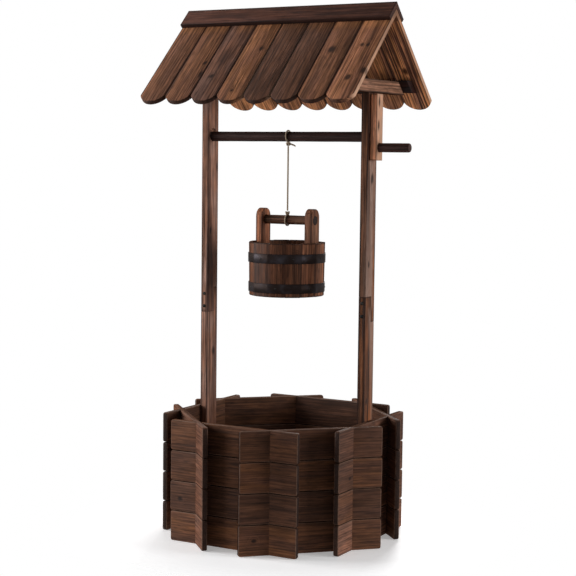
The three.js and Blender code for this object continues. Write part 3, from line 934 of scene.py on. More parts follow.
ROOF_FIR = fir(
    "charred_fir_roof_board",
    "#79513d #452a1f #8b5c3a #513b33 #21120d #bf967b",
    hair=0.6,
    rim=0.85,
    toasted_top=62.0,
)
RIDGE_FIR = fir("charred_fir_ridge_board", "#613e31 #321c16 #6d422f #4d3531 #1f0f0a #946f59", ring=4.5)
WALL_FIR = fir(
    "charred_fir_planter_board",
    "#513427 #2d1a14 #69432a #412f27 #1a0f0b #8a6c5b",
    ring=5.0,
    contrast=0.7,
    thread=0.36,
    hair=0.65,
    rim=0.0,
    worn=0.6,
)
FLOOR_FIR = fir("toasted_fir_floor_board", "#7d5b43 #553a2a #8a5a3a #64503f #3a261c #a5856a")
POST_FIR = fir(
    "charred_fir_post",
    "#603d29 #2c1a12 #744528 #4e3b33 #140908 #8c7164",
    ring=4.5,
    contrast=0.8,
    thread=0.55,
    hair=0.78,
)
ROD_FIR = fir("blackened_fir_rod", "#2e1c18 #1b0f0d #371e16 #2a1e1b #120806 #4b3a33", ring=5.0)
ARM_FIR = fir("toasted_fir_crank_arm", "#744c36 #3c241a #8a583a #5a4136 #24150f #a4826c", ring=4.5)
BEAM_FIR = fir("toasted_fir_gable_beam", "#86624f #483022 #8c5e45 #6c564a #37241b #967a6b", ring=4.2)
# the batten's colours are near black: char, and painted shade for its shaded end under the back slope
BATTEN_FIR_AND_PAINTED_SHADE = fir("charred_fir_batten_painted_shade", "#27100a #1a0906 #32130c #24120d #120604 #30160f", ring=4.5)
BUCKET_FIR = fir(
    "charred_fir_stave",
    "#6a432f #24110a #6e412b #543f31 #160b09 #7d5f4f",
    ring=4.0,
    contrast=0.75,
    thread=0.42,
    hair=0.58,
)
HOOP_STEEL = BlackenedSteel("blackened_steel_strip", "#150d0b", "#29262a", 0.46)
SCREW_STEEL = BlackenedSteel("blackened_steel_screw", "#191817", "#37332f", 0.45)
JUTE = TwistedJute("twisted_jute_cord", "#b5a28c", "#6f5e4d")

# the lightness and the grey of the staves that show, by number; staves 13 and 0, on the right, are painted
# more than twice as light, as painted light from the right
STAVE_TONES_AND_PAINTED_LIGHT = {
    9: (0.75, 0.1),
    10: (0.75, 0.0),
    11: (0.85, 0.0),
    12: (1.05, 0.2),
    13: (2.3, 0.2),
    0: (2.5, 0.25),
}


@dataclass(frozen=True)
class Rope:
    """The jute rope: a turn and knot on the rod, a free run, and a turn and knot on the dowel."""

    radius: float = 1.9
    strands: int = 3
    lay: float = 11.0  # millimetres along the rope for one turn of a strand
    groove: float = 0.2  # depth between strands, as a share of the radius
    sides: int = 24
    crease: float = 75.0
    turn_gap: float = 0.7
    knot_gap: float = 0.6
    knot_size: tuple[float, float, float] = (12.0, 10.0, 9.0)
    knot_reach: tuple[float, float] = (2.6, 2.9)  # what the trefoil's x and z are divided by
    knot_depth: float = 0.8  # what its y is multiplied by
    knot_inset: float = 0.85  # how far its path is inside the knot's size, in rope radii
    tightened: float = 0.8  # the radius in a knot, as a share of the rope's
    tail: float = 15.0
    tail_droop: float = 5.0
    tail_curve: float = 2.2  # the power of its length that it droops by
    tail_thinning: float = 0.25  # how much of its radius it loses over its last quarter
    run_points: int = 240
    turn_points: int = 90
    knot_points: int = 140
    tail_points: int = 30

    def tube(self, path: np.ndarray, across: tuple[float, ...], radius: np.ndarray | float) -> Tube:
        """Carries a twisted section along a path.

        The section's radius is radius * (1 - groove * (1 - |cos(n / 2 * twist)|)),
        where twist is the angle less a full turn for each lay of length, and n the strands.

        Args:
            path: Points along the rope.
            across: A direction that the path never takes.
            radius: The rope's radius, or one for each point.

        Returns:
            The tube.
        """
        ahead = unit(np.gradient(path, axis=0))
        first = unit(np.cross(ahead, np.array(across, float)))
        second = np.cross(ahead, first)
        run = np.concatenate([[0], np.cumsum(np.linalg.norm(np.diff(path, axis=0), axis=1))])[:, None]
        angle = angles(self.sides)
        twist = angle - 2 * np.pi * run / self.lay
        crest = np.abs(np.cos(twist * self.strands / 2))
        reach = np.broadcast_to(radius, len(path))[:, None] * (1 - self.groove * (1 - crest))
        ring = path[:, None] + (reach * np.cos(angle))[..., None] * first[:, None]
        ring = ring + (reach * np.sin(angle))[..., None] * second[:, None]
        points = np.concatenate([ring.reshape(-1, 3), path[:1], path[-1:]])
        strand = stacked(run, self.radius * np.cos(twist) * 2, self.radius * np.sin(twist) * 2)
        strand = np.concatenate([strand.reshape(-1, 3), np.zeros((2, 3))])
        crest = np.concatenate([crest.ravel(), np.ones(2)])
        return points, tube_faces(len(path), self.sides), {"strand": strand, "crest": crest}

    def joined(self, name: str, tubes: Sequence[Tube], body: str, node: str) -> bpy.types.Object:
        """Makes one piece of several tubes.

        Args:
            name: The piece's name.
            tubes: The tubes.
            body: The CAD body that it moves with.
            node: The CAD node that it stands for.

        Returns:
            The piece.
        """
        starts = np.cumsum([0] + [len(t[0]) for t in tubes[:-1]])
        faces = [[i + start for i in face] for t, start in zip(tubes, starts) for face in t[1]]
        values = {key: np.concatenate([t[2][key] for t in tubes]) for key in tubes[0][2]}
        points = np.concatenate([t[0] for t in tubes])
        piece = write_mesh(name, points, faces, values, crease=self.crease)
        settle(piece, JUTE, body, "jute_rope", node)
        return piece

    def turn(self, core: float, to_knot: float) -> np.ndarray:
        """Works out the path of a turn round a bar that is drawn together at its knot.

        It is an arc round the bar with a straight line from each end to the knot, and it steps
        sideways by a rope's width as it goes.

        Args:
            core: The bar's radius.
            to_knot: 1 with the knot above the bar and -1 below it.

        Returns:
            The path, with the bar along X through the origin.
        """
        wrap = core + FIT_GAP + self.radius
        opened = math.acos(wrap / self.knot_height(core))
        straight = wrap * math.tan(opened)
        bend = wrap * 2 * (math.pi - opened)
        run = np.linspace(0, 1, self.turn_points) * (2 * straight + bend)
        on_bend = np.clip(run - straight, 0, bend)
        angle = opened + on_bend / wrap
        way = np.where(run < straight, -1, 1)
        outside = np.abs(run - straight - on_bend)
        x = (run / run[-1] * 2 - 1) * (self.radius + self.turn_gap / 2)
        y = wrap * np.sin(angle) + way * outside * np.cos(angle)
        z = wrap * np.cos(angle) - way * outside * np.sin(angle)
        return stacked(x, y, to_knot * z)

    def knot_height(self, core: float) -> float:
        """Gives how far a knot's middle is from the bar's axis."""
        return core + self.knot_gap + self.knot_size[2] / 2

    def knot(self, z: float) -> np.ndarray:
        """Works out an overhand knot drawn tight: a trefoil, flattened to the knot's size.

        x goes as sin t + 2 sin 2t, z as cos t - 2 cos 2t and y as -sin 3t.

        Args:
            z: The height of its middle.

        Returns:
            The path.
        """
        t = np.linspace(0, 2 * np.pi, self.knot_points)
        half = np.array(self.knot_size) / 2 - self.knot_inset * self.radius
        x = (np.sin(t) + 2 * np.sin(2 * t)) / self.knot_reach[0] * half[0]
        height = (np.cos(t) - 2 * np.cos(2 * t)) / self.knot_reach[1] * half[2]
        return stacked(x, -np.sin(3 * t) * half[1] * self.knot_depth, z + height)

    def tied(self, node: str, x: float, to_knot: float) -> tuple[list[Tube], float]:
        """Works out a turn round a bar and the knot that draws it together.

        Args:
            node: The bar's CAD node.
            x: Where along the bar the rope is.
            to_knot: 1 with the knot above the bar and -1 below it.

        Returns:
            The two tubes, and the height of the knot's middle.
        """
        centre, core = node_bar(node)
        middle = centre[2] + to_knot * self.knot_height(core)
        turn = self.tube(self.turn(core, to_knot) + [x, 0, centre[2]], (1, 0, 0), self.radius)
        knot = self.tube(self.knot(middle) + [x, 0, 0], (0, 1, 0), self.radius * self.tightened)
        return [turn, knot], middle

    def make(self) -> None:
        """Makes the run first, as the cord that it is, and then what it is tied with."""
        low, high = node_box("rope_run")
        x, y = (low[:2] + high[:2]) / 2
        path = stacked(x, y, np.linspace(high[2], low[2], self.run_points))
        tubes = [self.tube(path, (1, 0, 0), self.radius)]
        run = self.joined("jute_rope_run", tubes, "rope", "rope_run")

        tubes, middle = self.tied("windlass_rod", x, -1)
        t = np.linspace(0, 1, self.tail_points)
        end = self.knot_size[0] / 4 + self.tail
        tail = stacked(t * end, 0.0, -self.tail_droop * t**self.tail_curve) + [x, 0, middle]
        thinner = self.tail_thinning * np.clip(4 * t - 3, 0, 1)
        tubes.append(self.tube(tail, (0, 1, 0), self.radius * (1 - thinner)))
        on_rod = self.joined("jute_rope_turn_on_rod", tubes, "rope", "rope_turn_on_rod")
        tubes = self.tied("bucket_handle_dowel", x, 1)[0]
        on_dowel = self.joined("jute_rope_hitch_on_dowel", tubes, "hitch", "rope_hitch_on_dowel")

        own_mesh(run)


@dataclass(frozen=True)
class Planter:
    """The octagonal planter: eight walls of four boards, halved together where they cross."""

    boards: int = 4
    thickness: float = 12.0
    edge: float = 2.4
    corner: float = 4.5
    seam: float = 1.2
    beside: float = 0.8  # how far from a notch the edges are eased again
    seed: int = 21

    def axes(self, wall: int) -> Axes:
        """Gives a wall's axes: u along it, v up, and w out of its outer face.

        Args:
            wall: The wall's number, from the front one round to the right.

        Returns:
            The axes.
        """
        turn = wall * math.pi / 4
        out = np.array([math.sin(turn), -math.cos(turn), 0.0])
        return Axes(out * -node_box("planter_wall_front")[0][1], np.cross(UP, out), UP, out)

    def board(self, wall: int, level: int, ends: np.ndarray) -> Board:
        """Works out one board, with its two notches leaning at the crossing boards' 45 degrees.

        A crossing board's faces are at a * sqrt 2 - apothem along this one's outer face, where a
        is its own face's distance from the middle.

        Args:
            wall: The wall's number.
            level: 0 for the lowest board.
            ends: How much shorter each end is than the CAD's.

        Returns:
            The board.
        """
        low, high = node_box("planter_wall_front")
        apothem = -low[1]
        height = high[2] / self.boards
        z0 = level * height + (self.seam / 2 if level else 0)
        z1 = (level + 1) * height - (self.seam / 2 if level < self.boards - 1 else 0)
        middle = (level + 0.5) * height
        near = (apothem - self.thickness - FIT_GAP) * math.sqrt(2) - apothem
        far = (apothem + FIT_GAP) * math.sqrt(2) - apothem
        corners = round_corners(rectangle(low[0] + ends[0], high[0] - ends[1], z0, z1), self.corner)
        notch = stacked([near - self.beside, near, near, far, far, far + self.beside], [0, 0, 1, 1, 0, 0])
        cut = np.concatenate([notch[::-1] * [-1, 1], notch])
        lean = np.repeat([1.0, -1.0], len(notch))
        if wall % 2 == 0:
            cut = cut[::-1] * [1, middle - FIT_GAP / 2 - z1] + [0, z1]
            lean = lean[::-1]
            at = 3 * len(corners) // 4
        else:
            cut = cut * [1, middle + FIT_GAP / 2 - z0] + [0, z0]
            at = len(corners) // 4
        outline = np.insert(corners, at, cut, 0)
        ease = np.insert(np.ones(len(corners)), at, np.tile([1.0, 0, 0, 0, 0, 1], 2))
        lean = np.insert(np.zeros(len(corners)), at, lean)
        return Board(outline, -self.thickness, 0.0, edge=self.edge, ease=ease, lean=lean)

    def shown(self) -> dict[tuple[str, int], Log]:
        """Gives the logs of the boards whose marks show, by wall and level from the ground.

        Returns:
            The logs.
        """
        dark = (-0.9, -0.9)
        top = (-0.9, 0.2)
        knot_left = (Knot(-130, -5, 5, 4),)
        knot_low = (Knot(-123, 0, 4, 3),)
        return {
            ("front", 0): Log((0, 22), 210, 1.12, 0.85, 0.1, 0.2, 0.3, 0.75, dark),
            ("front", 1): Log((-14, -44), 980, 0.98, 0.3, 0.4, 0.3, 0.15, 0.4, dark, knots=knot_left),
            ("front", 2): Log((18, 50), 1770, 1.02, 0.45, 0.2, 0.25, 0.2, 0.45, dark),
            ("front", 3): Log((-8, -26), 2560, 1.1, 0.5, 0.15, 0.2, 0.2, 0.55, top),
            ("front_right", 0): Log((2, -16), 3340, 1.05, 0.5, 0.1, 0.25, 0.25, 0.85, dark, knots=knot_low),
            ("front_right", 1): Log((-20, 40), 4130, 0.9, 0.35, 0.35, 0.3, 0.3, 0.5, dark),
            ("front_right", 2): Log((10, -30), 4920, 1.05, 0.7, 0.1, 0.2, 0.25, 0.7, dark),
            ("front_right", 3): Log((-6, 46), 5710, 0.92, 0.35, 0.2, 0.3, 0.15, 0.35, top),
            # the front-left wall's boards are painted nearly twice as light: painted light on the face that
            # turns to the left
            ("front_left", 0): Log((8, -38), 640, 1.95, 0.1, 0.85, 0.15, 0.1, 0.4, dark),
            ("front_left", 1): Log((-12, 30), 1450, 1.9, 0.1, 0.9, 0.2, 0.1, 0.4, dark),
            ("front_left", 2): Log((16, -24), 2240, 1.95, 0.1, 0.8, 0.15, 0.1, 0.4, dark),
            ("front_left", 3): Log((-4, 44), 3030, 1.85, 0.1, 0.85, 0.2, 0.1, 0.4, top),
            ("right", 0): Log((-4, 26), 3820, 2.1, 0.1, 0.65, 0.05, 0.1, 0.6, dark),
            ("right", 1): Log((12, -40), 4610, 1.1, 0.4, 0.2, 0.2, 0.15, 0.5, dark),
        }

    def make(self) -> None:
        """Makes the 32 boards, each from its own piece of log."""
        rng = np.random.default_rng(self.seed)
        shown = self.shown()
        for wall, name in enumerate(WALLS):
            for level in range(self.boards):
                ends = rng.uniform(0, 1.6, 2)
                sides = (-0.9, 0.2 if level == self.boards - 1 else -0.9)
                wood = random_log(rng, 300, 60, light=(0.85, 1.15), knot_chance=0.45, sides=sides)
                wood = shown.get((name, level), wood)
                board = self.board(wall, level, ends)
                piece = board.build(f"planter_board_{name}_{level + 1}", self.axes(wall), wood)
                settle(piece, WALL_FIR, "frame", "planter_boards", f"planter_wall_{name}")


@dataclass(frozen=True)
class PlanterFloor:
    """The planter's floor: bearers along X and slats across them."""

    counts: tuple[int, int] = (3, 5)
    edge: float = 1.0
    seed: int = 5

    def strip(self, low: float, high: float, longest: float) -> np.ndarray:
        """Works out a strip whose ends follow the octagon's inside.

        At a distance to one side the octagon reaches to its apothem or to the slanting wall.

        Args:
            low: Its lower side.
            high: Its upper side.
            longest: What its half length is at most.

        Returns:
            An anticlockwise outline, with the strip's length first.
        """
        inner = -node_box("planter_wall_front")[1][1] - FIT_GAP
        kink = inner * (math.sqrt(2) - 1)
        sides = np.array([low, *[k for k in (-kink, kink) if low < k < high], high])
        reach = np.minimum(inner, inner * math.sqrt(2) - np.abs(sides))
        right = stacked(np.minimum(reach, longest), sides)
        return np.concatenate([right, right[::-1] * [-1, 1]])

    def make(self) -> None:
        """Makes the bearers and the slats."""
        rng = np.random.default_rng(self.seed)
        kinds = (("bearer", Along.U, (380, 30)), ("slat", Along.V, (400, 65)))
        for count, (kind, along, size) in zip(self.counts, kinds):
            for i in range(1, count + 1):
                low, high = node_box(f"floor_{kind}_{i}")
                if along is Along.U:
                    outline = self.strip(low[1], high[1], high[0])
                else:
                    outline = self.strip(low[0], high[0], high[1])[::-1, ::-1]
                board = Board(outline, low[2], high[2], edge=self.edge, along=along)
                piece = board.build(f"{kind}_{i}", WORLD, random_log(rng, *size))
                settle(piece, FLOOR_FIR, "frame", "floor_boards", f"floor_{kind}_{i}")


@dataclass(frozen=True)
class Posts:
    """Two posts, each an upper and a lower piece in a half lap with two screws."""

    edge: float = 0.9
    sides: int = 48
    head_radius: float = 3.8
    head_height: float = 1.6
    head_rings: int = 14
    recess: float = 0.9
    arm: float = 0.62  # half the width of an arm of the cross recess
    arm_reach: float = 2.3
    shank: float = 1.45
    shank_rings: int = 90
    thread: float = 0.5
    thread_pitch: float = 1.3
    point: float = 3.0

    def woods(self) -> dict[str, Log]:
        """Gives each post piece its log, with the knots that show.

        Returns:
            The logs by CAD node.
        """
        # the left post is painted 3.45 times as light: painted light against the shade of the roof on it
        left = Log((3, -30), 120, 3.45, 0.1, 0.95, 0.2, 0.4, 0.8, (0.2, 0.2))
        right = Log((5, 26), 2110, 1.4, 0.5, 0.2, 0.5, 0.8, 0.9, (0.8, 0.85))
        low = {"light": 1.2, "warm": 0.85, "grey": 0.0}
        return {
            "left_post_upper": replace(left, knots=(Knot(83, 16, 9, 3), Knot(-60, -9, 6, 3))),
            "left_post_lower": replace(left, start=1320, knots=(Knot(120, 6, 7, 4),)),
            "right_post_upper": replace(right, knots=(Knot(61.5, 2, 9, 4.5), Knot(-120, -8, 6, 3))),
            "right_post_lower": replace(right, start=3050, soot=0.3, knots=(Knot(40, -10, 6, 3),), **low),
        }

    def screw(self, name: str, node: str) -> bpy.types.Object:
        """Makes a round-headed screw with a cross recess, pointing along +Y.

        The head's height at radius r is height * sqrt(1 - (r / R)^2), less the recess where the
        cross is. Below the head the shank runs to the CAD screw's tip, with a thread on it.

        Args:
            name: The piece's name.
            node: The CAD screw.

        Returns:
            The object.
        """
        low, high = node_box(node)
        centre = (low + high) / 2
        angle = angles(self.sides)
        radii = np.linspace(0.12, 1, self.head_rings)[:, None] * self.head_radius
        x, z = radii * np.cos(angle), radii * np.sin(angle)
        dome = self.head_height * np.sqrt(np.clip(1 - (radii / self.head_radius) ** 2, 0, 1))
        bar = np.minimum(np.abs(x), np.abs(z))
        slot = np.clip((self.arm - bar) / 0.2, 0, 1) * np.clip((self.arm_reach - radii) / 0.4, 0, 1)
        head = stacked(x, self.recess * slot - dome, z)
        end = high[1] - low[1] - self.head_height
        run = np.linspace(0, end - self.point, self.shank_rings)[:, None]
        thread = self.shank + self.thread * np.abs(((run / self.thread_pitch) % 1) * 2 - 1)
        shank = stacked(thread * np.cos(angle), run, thread * np.sin(angle))
        rings = np.concatenate([head, shank])
        tips = [[0, self.recess - self.head_height, 0], [0, end, 0]]
        points = np.concatenate([rings.reshape(-1, 3), tips])
        points = points + [centre[0], low[1] + self.head_height, centre[2]]
        faces = [face[::-1] for face in tube_faces(len(rings), self.sides)]
        return write_mesh(name, points, faces)

    def make(self) -> None:
        """Makes the four post pieces and the four screws."""
        for node, wood in self.woods().items():
            piece = eased_copy(node, f"{node}_piece", self.edge, wood)
            settle(piece, POST_FIR, "frame", "post_wood", node)
        for side in ("left", "right"):
            for i in (1, 2):
                node = f"{side}_post_screw_{i}"
                piece = self.screw(f"{side}_lap_screw_{i}", node)
                settle(piece, SCREW_STEEL, "frame", "screw_steel", node)


@dataclass(frozen=True)
class Windlass:
    """The rod across the posts, the crank arm on its end, and the arm's round handle."""

    edge: float = 0.8
    chamfer: float = 1.2
    dome: float = 2.6

    def make(self) -> None:
        """Makes the rod, the arm and the handle."""
        wood = Log((4, -18), 300, end=0.3)
        piece = turned_bar("winding_rod", "windlass_rod", wood, self.chamfer, self.chamfer)
        settle(piece, ROD_FIR, "windlass", "rod_wood", "windlass_rod")
        wood = Log((-3, 15), 900, 1.5, end=0.3)
        piece = turned_bar("handle_bar", "crank_handle", wood, self.chamfer, self.dome)
        settle(piece, ROD_FIR, "windlass", "rod_wood", "crank_handle")
        knots = (Knot(53.0, -4, 9, 3.0), Knot(4.5, -6, 8, 3.2))
        # the arm's charred face is painted 7.4 times as light: painted light for the front face, which is
        # in the post's shade
        wood = Log((20, -40), 700, 7.4, 0.45, 0.4, 0.15, 0.4, 0.8, (0.95, 0.95), 0.5, knots)
        piece = eased_copy("crank_arm", "arm_board", self.edge, wood)
        settle(piece, ARM_FIR, "windlass", "arm_wood", "crank_arm")


@dataclass(frozen=True)
class Slope:
    """One side of the roof: its frame on the ridge, u down the slope and w out of it."""

    name: str
    toward: float  # -1 to the front and 1 to the back
    ridge: float
    pitch: float

    def axes(self) -> Axes:
        """Gives the slope's axes.

        Returns:
            The axes, from the ridge.
        """
        c, s = math.cos(self.pitch), math.sin(self.pitch)
        down = np.array([0.0, self.toward * c, -s])
        out = np.array([0.0, self.toward * s, c])
        return Axes(np.array([0.0, 0, self.ridge]), down, np.cross(out, down), out)


@dataclass(frozen=True)
class Roof:
    """Sixteen scalloped boards, two ridge boards, two battens and two gable beams."""

    pitch: float = math.radians(44)
    count: int = 8
    board_gap: float = 1.6
    board_top: float = 10.3
    board_thickness: float = 10.0
    board_length: float = 283.0
    scallop: float = 20.0
    arc_points: int = 21
    cap_thickness: float = 10.0
    cap_width: float = 48.0
    batten_top: float = 20.6
    batten_thickness: float = 19.0
    batten_width: float = 36.0
    ridge_gap: float = 0.15
    edge: float = 1.1
    seed: int = 8

    def plumb(self, depth: float) -> float:
        """Gives how far down the slope a plumb cut at the ridge is, at a depth below the roof."""
        return depth * math.tan(self.pitch) + self.ridge_gap / math.cos(self.pitch)

    def front_woods(self) -> tuple[Log, ...]:
        """Gives the front boards' logs, from the left, with the knots and scorches that show.

        Returns:
            The logs.
        """

        def spot(down: float, across: float, length: float, width: float) -> Knot:
            """Gives a knot at a distance down the slope."""
            return Knot(down - 10 - self.board_length / 2, across, length, width)

        dark = (-0.85, -0.85)
        right_pale = (-0.85, 0.85)
        knots_2 = (spot(170, 21, 5, 4), spot(207, 27, 9, 2.5))
        knots_3 = (spot(214, -8, 5, 4),)
        knots_4 = (spot(127, 14, 6, 4), spot(260, -1, 4, 3))
        knots_8 = (spot(124.5, -6, 5, 4), spot(125, 8, 4, 3.5), spot(225, -1, 7, 5.5), spot(205, 27, 8, 5))
        stain = spot(153, -3, 38, 15)
        return (
            Log((26, -46), 130, 1.22, 0.3, 0.35, 0.1, 0.05, 0.25, (-0.3, -0.85)),
            Log((-20, -38), 900, 1.2, 0.4, 0.2, 0.2, 0.15, 0.45, dark, knots=knots_2),
            Log((8, 30), 1700, 1.42, 0.05, 0.9, 0.3, 0.2, 0.6, dark, knots=knots_3, burn=stain),
            Log((16, -22), 2500, 1.3, 0.55, 0.1, 0.2, 0.15, 0.4, right_pale, knots=knots_4),
            Log((-12, 24), 3300, 0.94, 0.15, 0.6, 0.45, 0.3, 0.6, right_pale),
            Log((20, 30), 4100, 1.0, 0.2, 0.6, 0.45, 0.35, 0.55, dark),
            Log((-6, -26), 4900, 1.32, 0.4, 0.25, 0.3, 0.2, 0.6, dark, knots=(spot(137, -7, 9, 7),)),
            Log((24, -20), 5700, 2.3, 0.4, 0.15, 0.3, 0.45, 0.8, (-0.85, 1.0), knots=knots_8),
        )

    def back_wood(self, rng: np.random.Generator, last: bool) -> Log:
        """Picks a back board's log: toasted orange with black streaks, and painted light on its shaded
        underside.

        Args:
            rng: The generator.
            last: Whether it is the board at the crank's end, whose outer side is pale.

        Returns:
            The log.
        """
        # under paints the underside lighter: painted light, as it is in the roof's shade
        given = {"under": 1.9, "soot": 0.4, "streak": 0.4, "line": 0.7, "sides": (-0.85, -0.85)}
        if last:
            given = {"under": 2.7, "soot": 0.2, "streak": 0.9, "line": 0.95, "sides": (1.0, -0.85)}
            given["knots"] = (Knot(177 - 10 - self.board_length / 2, 0.0, 7, 5),)
        return random_log(rng, self.board_length, 64, light=(1.1, 1.4), warm=0.8, grey=0.0, **given)

    def tip_radius(self, half: float) -> float:
        """Gives (c^2 + h^2) / 2h, the radius of the arc of sagitta h over half the width c."""
        return (half**2 + self.scallop**2) / (2 * self.scallop)

    def board(self, across: float, half: float, shorter: float) -> Board:
        """Works out a roof board: plumb at the ridge and a shallow arc at its tip.

        Args:
            across: Its middle across the slope.
            half: Half its width.
            shorter: How far its tip is above the lowest.

        Returns:
            The board.
        """
        radius = self.tip_radius(half)
        tip = self.plumb(self.board_top) + self.board_length - shorter
        sweep = math.asin(min(1.0, half / radius))
        angle = np.linspace(-sweep, sweep, self.arc_points)
        arc = stacked(tip - radius * (1 - np.cos(angle)), radius * np.sin(angle))
        ridge = self.plumb(0.0)
        outline = np.concatenate([[[ridge, half], [ridge, -half]], arc]) + [0, across]
        at_ridge = np.arange(len(outline)) < 2
        lean = np.where(at_ridge, -math.tan(self.pitch), 0.0)
        low = -self.board_top - self.board_thickness
        return Board(outline, low, -self.board_top, edge=self.edge, ease=1.0 - at_ridge, lean=lean)

    def tip_circle(self, half: float) -> Knot:
        """Gives the circle that a board's tip is part of, from the board's middle.

        Args:
            half: Half the board's width.

        Returns:
            The circle, as an oval.
        """
        radius = self.tip_radius(half)
        reach = self.plumb(self.board_top) + self.board_length - self.plumb(0.0)
        return Knot(reach / 2 - radius, 0.0, radius, radius)

    def cap(self, half: float) -> Board:
        """Works out a ridge board, plumb at the ridge.

        Args:
            half: Half its length.

        Returns:
            The board.
        """
        begin = self.plumb(0.0)
        outline = rectangle(begin, begin + self.cap_width, -half, half)
        ease = np.array([0.0, 1, 1, 0])
        lean = -math.tan(self.pitch) * (1 - ease)
        return Board(outline, -self.cap_thickness, 0.0, edge=self.edge, ease=ease, lean=lean, along=Along.V)

    def batten(self, slope: Slope, half: float) -> Board:
        """Works out a batten, whose upper and lower sides are level.

        Level is lean = 1 / tan(pitch) of u for each millimetre out of the slope.

        Args:
            slope: The slope.
            half: Half its length.

        Returns:
            The board.
        """
        under = self.batten_top + self.batten_thickness
        low = node_box(f"{slope.name}_roof_batten")[0][2]
        end = (slope.ridge - low) / math.sin(self.pitch)
        outline = rectangle(end - self.batten_width, end, -half, half)
        lean = 1 / math.tan(self.pitch)
        return Board(outline, -under, -self.batten_top, edge=self.edge, lean=lean, along=Along.V)

    def gable_beam(self, name: str, wood: Log) -> None:
        """Makes a beam along Y whose ends are cut to the slope.

        Args:
            name: "left" or "right".
            wood: Its log.
        """
        low, high = node_box(f"{name}_gable_beam")
        shorter = (high[2] - low[2]) / math.tan(self.pitch)
        outline = rectangle(low[1], high[1], low[2], high[2])
        outline[2:, 0] += [-shorter, shorter]
        piece = Board(outline, low[0], high[0], edge=self.edge).build(f"{name}_beam", LENGTHWAYS, wood)
        settle(piece, BEAM_FIR, "frame", "beam_wood", f"{name}_gable_beam")

    def make(self) -> None:
        """Makes both slopes and the beams under them."""
        rng = np.random.default_rng(self.seed)
        high = node_box("front_ridge_cap")[1]
        ridge = high[2] + self.ridge_gap * math.tan(self.pitch)
        half_batten = node_box("front_roof_batten")[1][0]
        spacing = 2 * high[0] / self.count
        half = (spacing - self.board_gap) / 2
        for name, toward in (("front", -1.0), ("back", 1.0)):
            slope = Slope(name, toward, ridge, self.pitch)
            axes = slope.axes()
            for i in range(self.count):
                x = (i - (self.count - 1) / 2) * spacing
                wood = self.back_wood(rng, i == self.count - 1)
                if name == "front":
                    wood = self.front_woods()[i]
                wood = replace(wood, tip=self.tip_circle(half))
                board = self.board(-toward * x, half, rng.uniform(0.0, 1.5))
                piece = board.build(f"{name}_scalloped_board_{i + 1}", axes, wood)
                settle(piece, ROOF_FIR, "frame", "roof_boards", f"{name}_roof_board_{i + 1}")
            # the ridge board's lower narrow side is painted near black: painted shade, as no light reaches
            # under its edge
            dull = {"knot_chance": 0.0, "grey": 0.5, "sides": (0.0, -0.95)}
            wood = random_log(rng, 2 * high[0], 48, light=(0.95, 1.0), **dull)
            piece = self.cap(high[0]).build(f"{name}_ridge_board", axes, wood)
            settle(piece, RIDGE_FIR, "frame", "ridge_boards", f"{name}_ridge_cap")
            wood = random_log(rng, 2 * half_batten, 36, light=(0.8, 0.95))
            piece = self.batten(slope, half_batten).build(f"{name}_batten", axes, wood)
            settle(piece, BATTEN_FIR_AND_PAINTED_SHADE, "frame", "batten_wood", f"{name}_roof_batten")
        self.gable_beam("left", Log((5, -32), 260, 0.95, sides=(0.3, 0.3)))
        self.gable_beam("right", Log((-4, 26), 1400, 1.0, 0.3, 0.1, 0.1, 0.1, 0.8, (0.3, 0.3)))


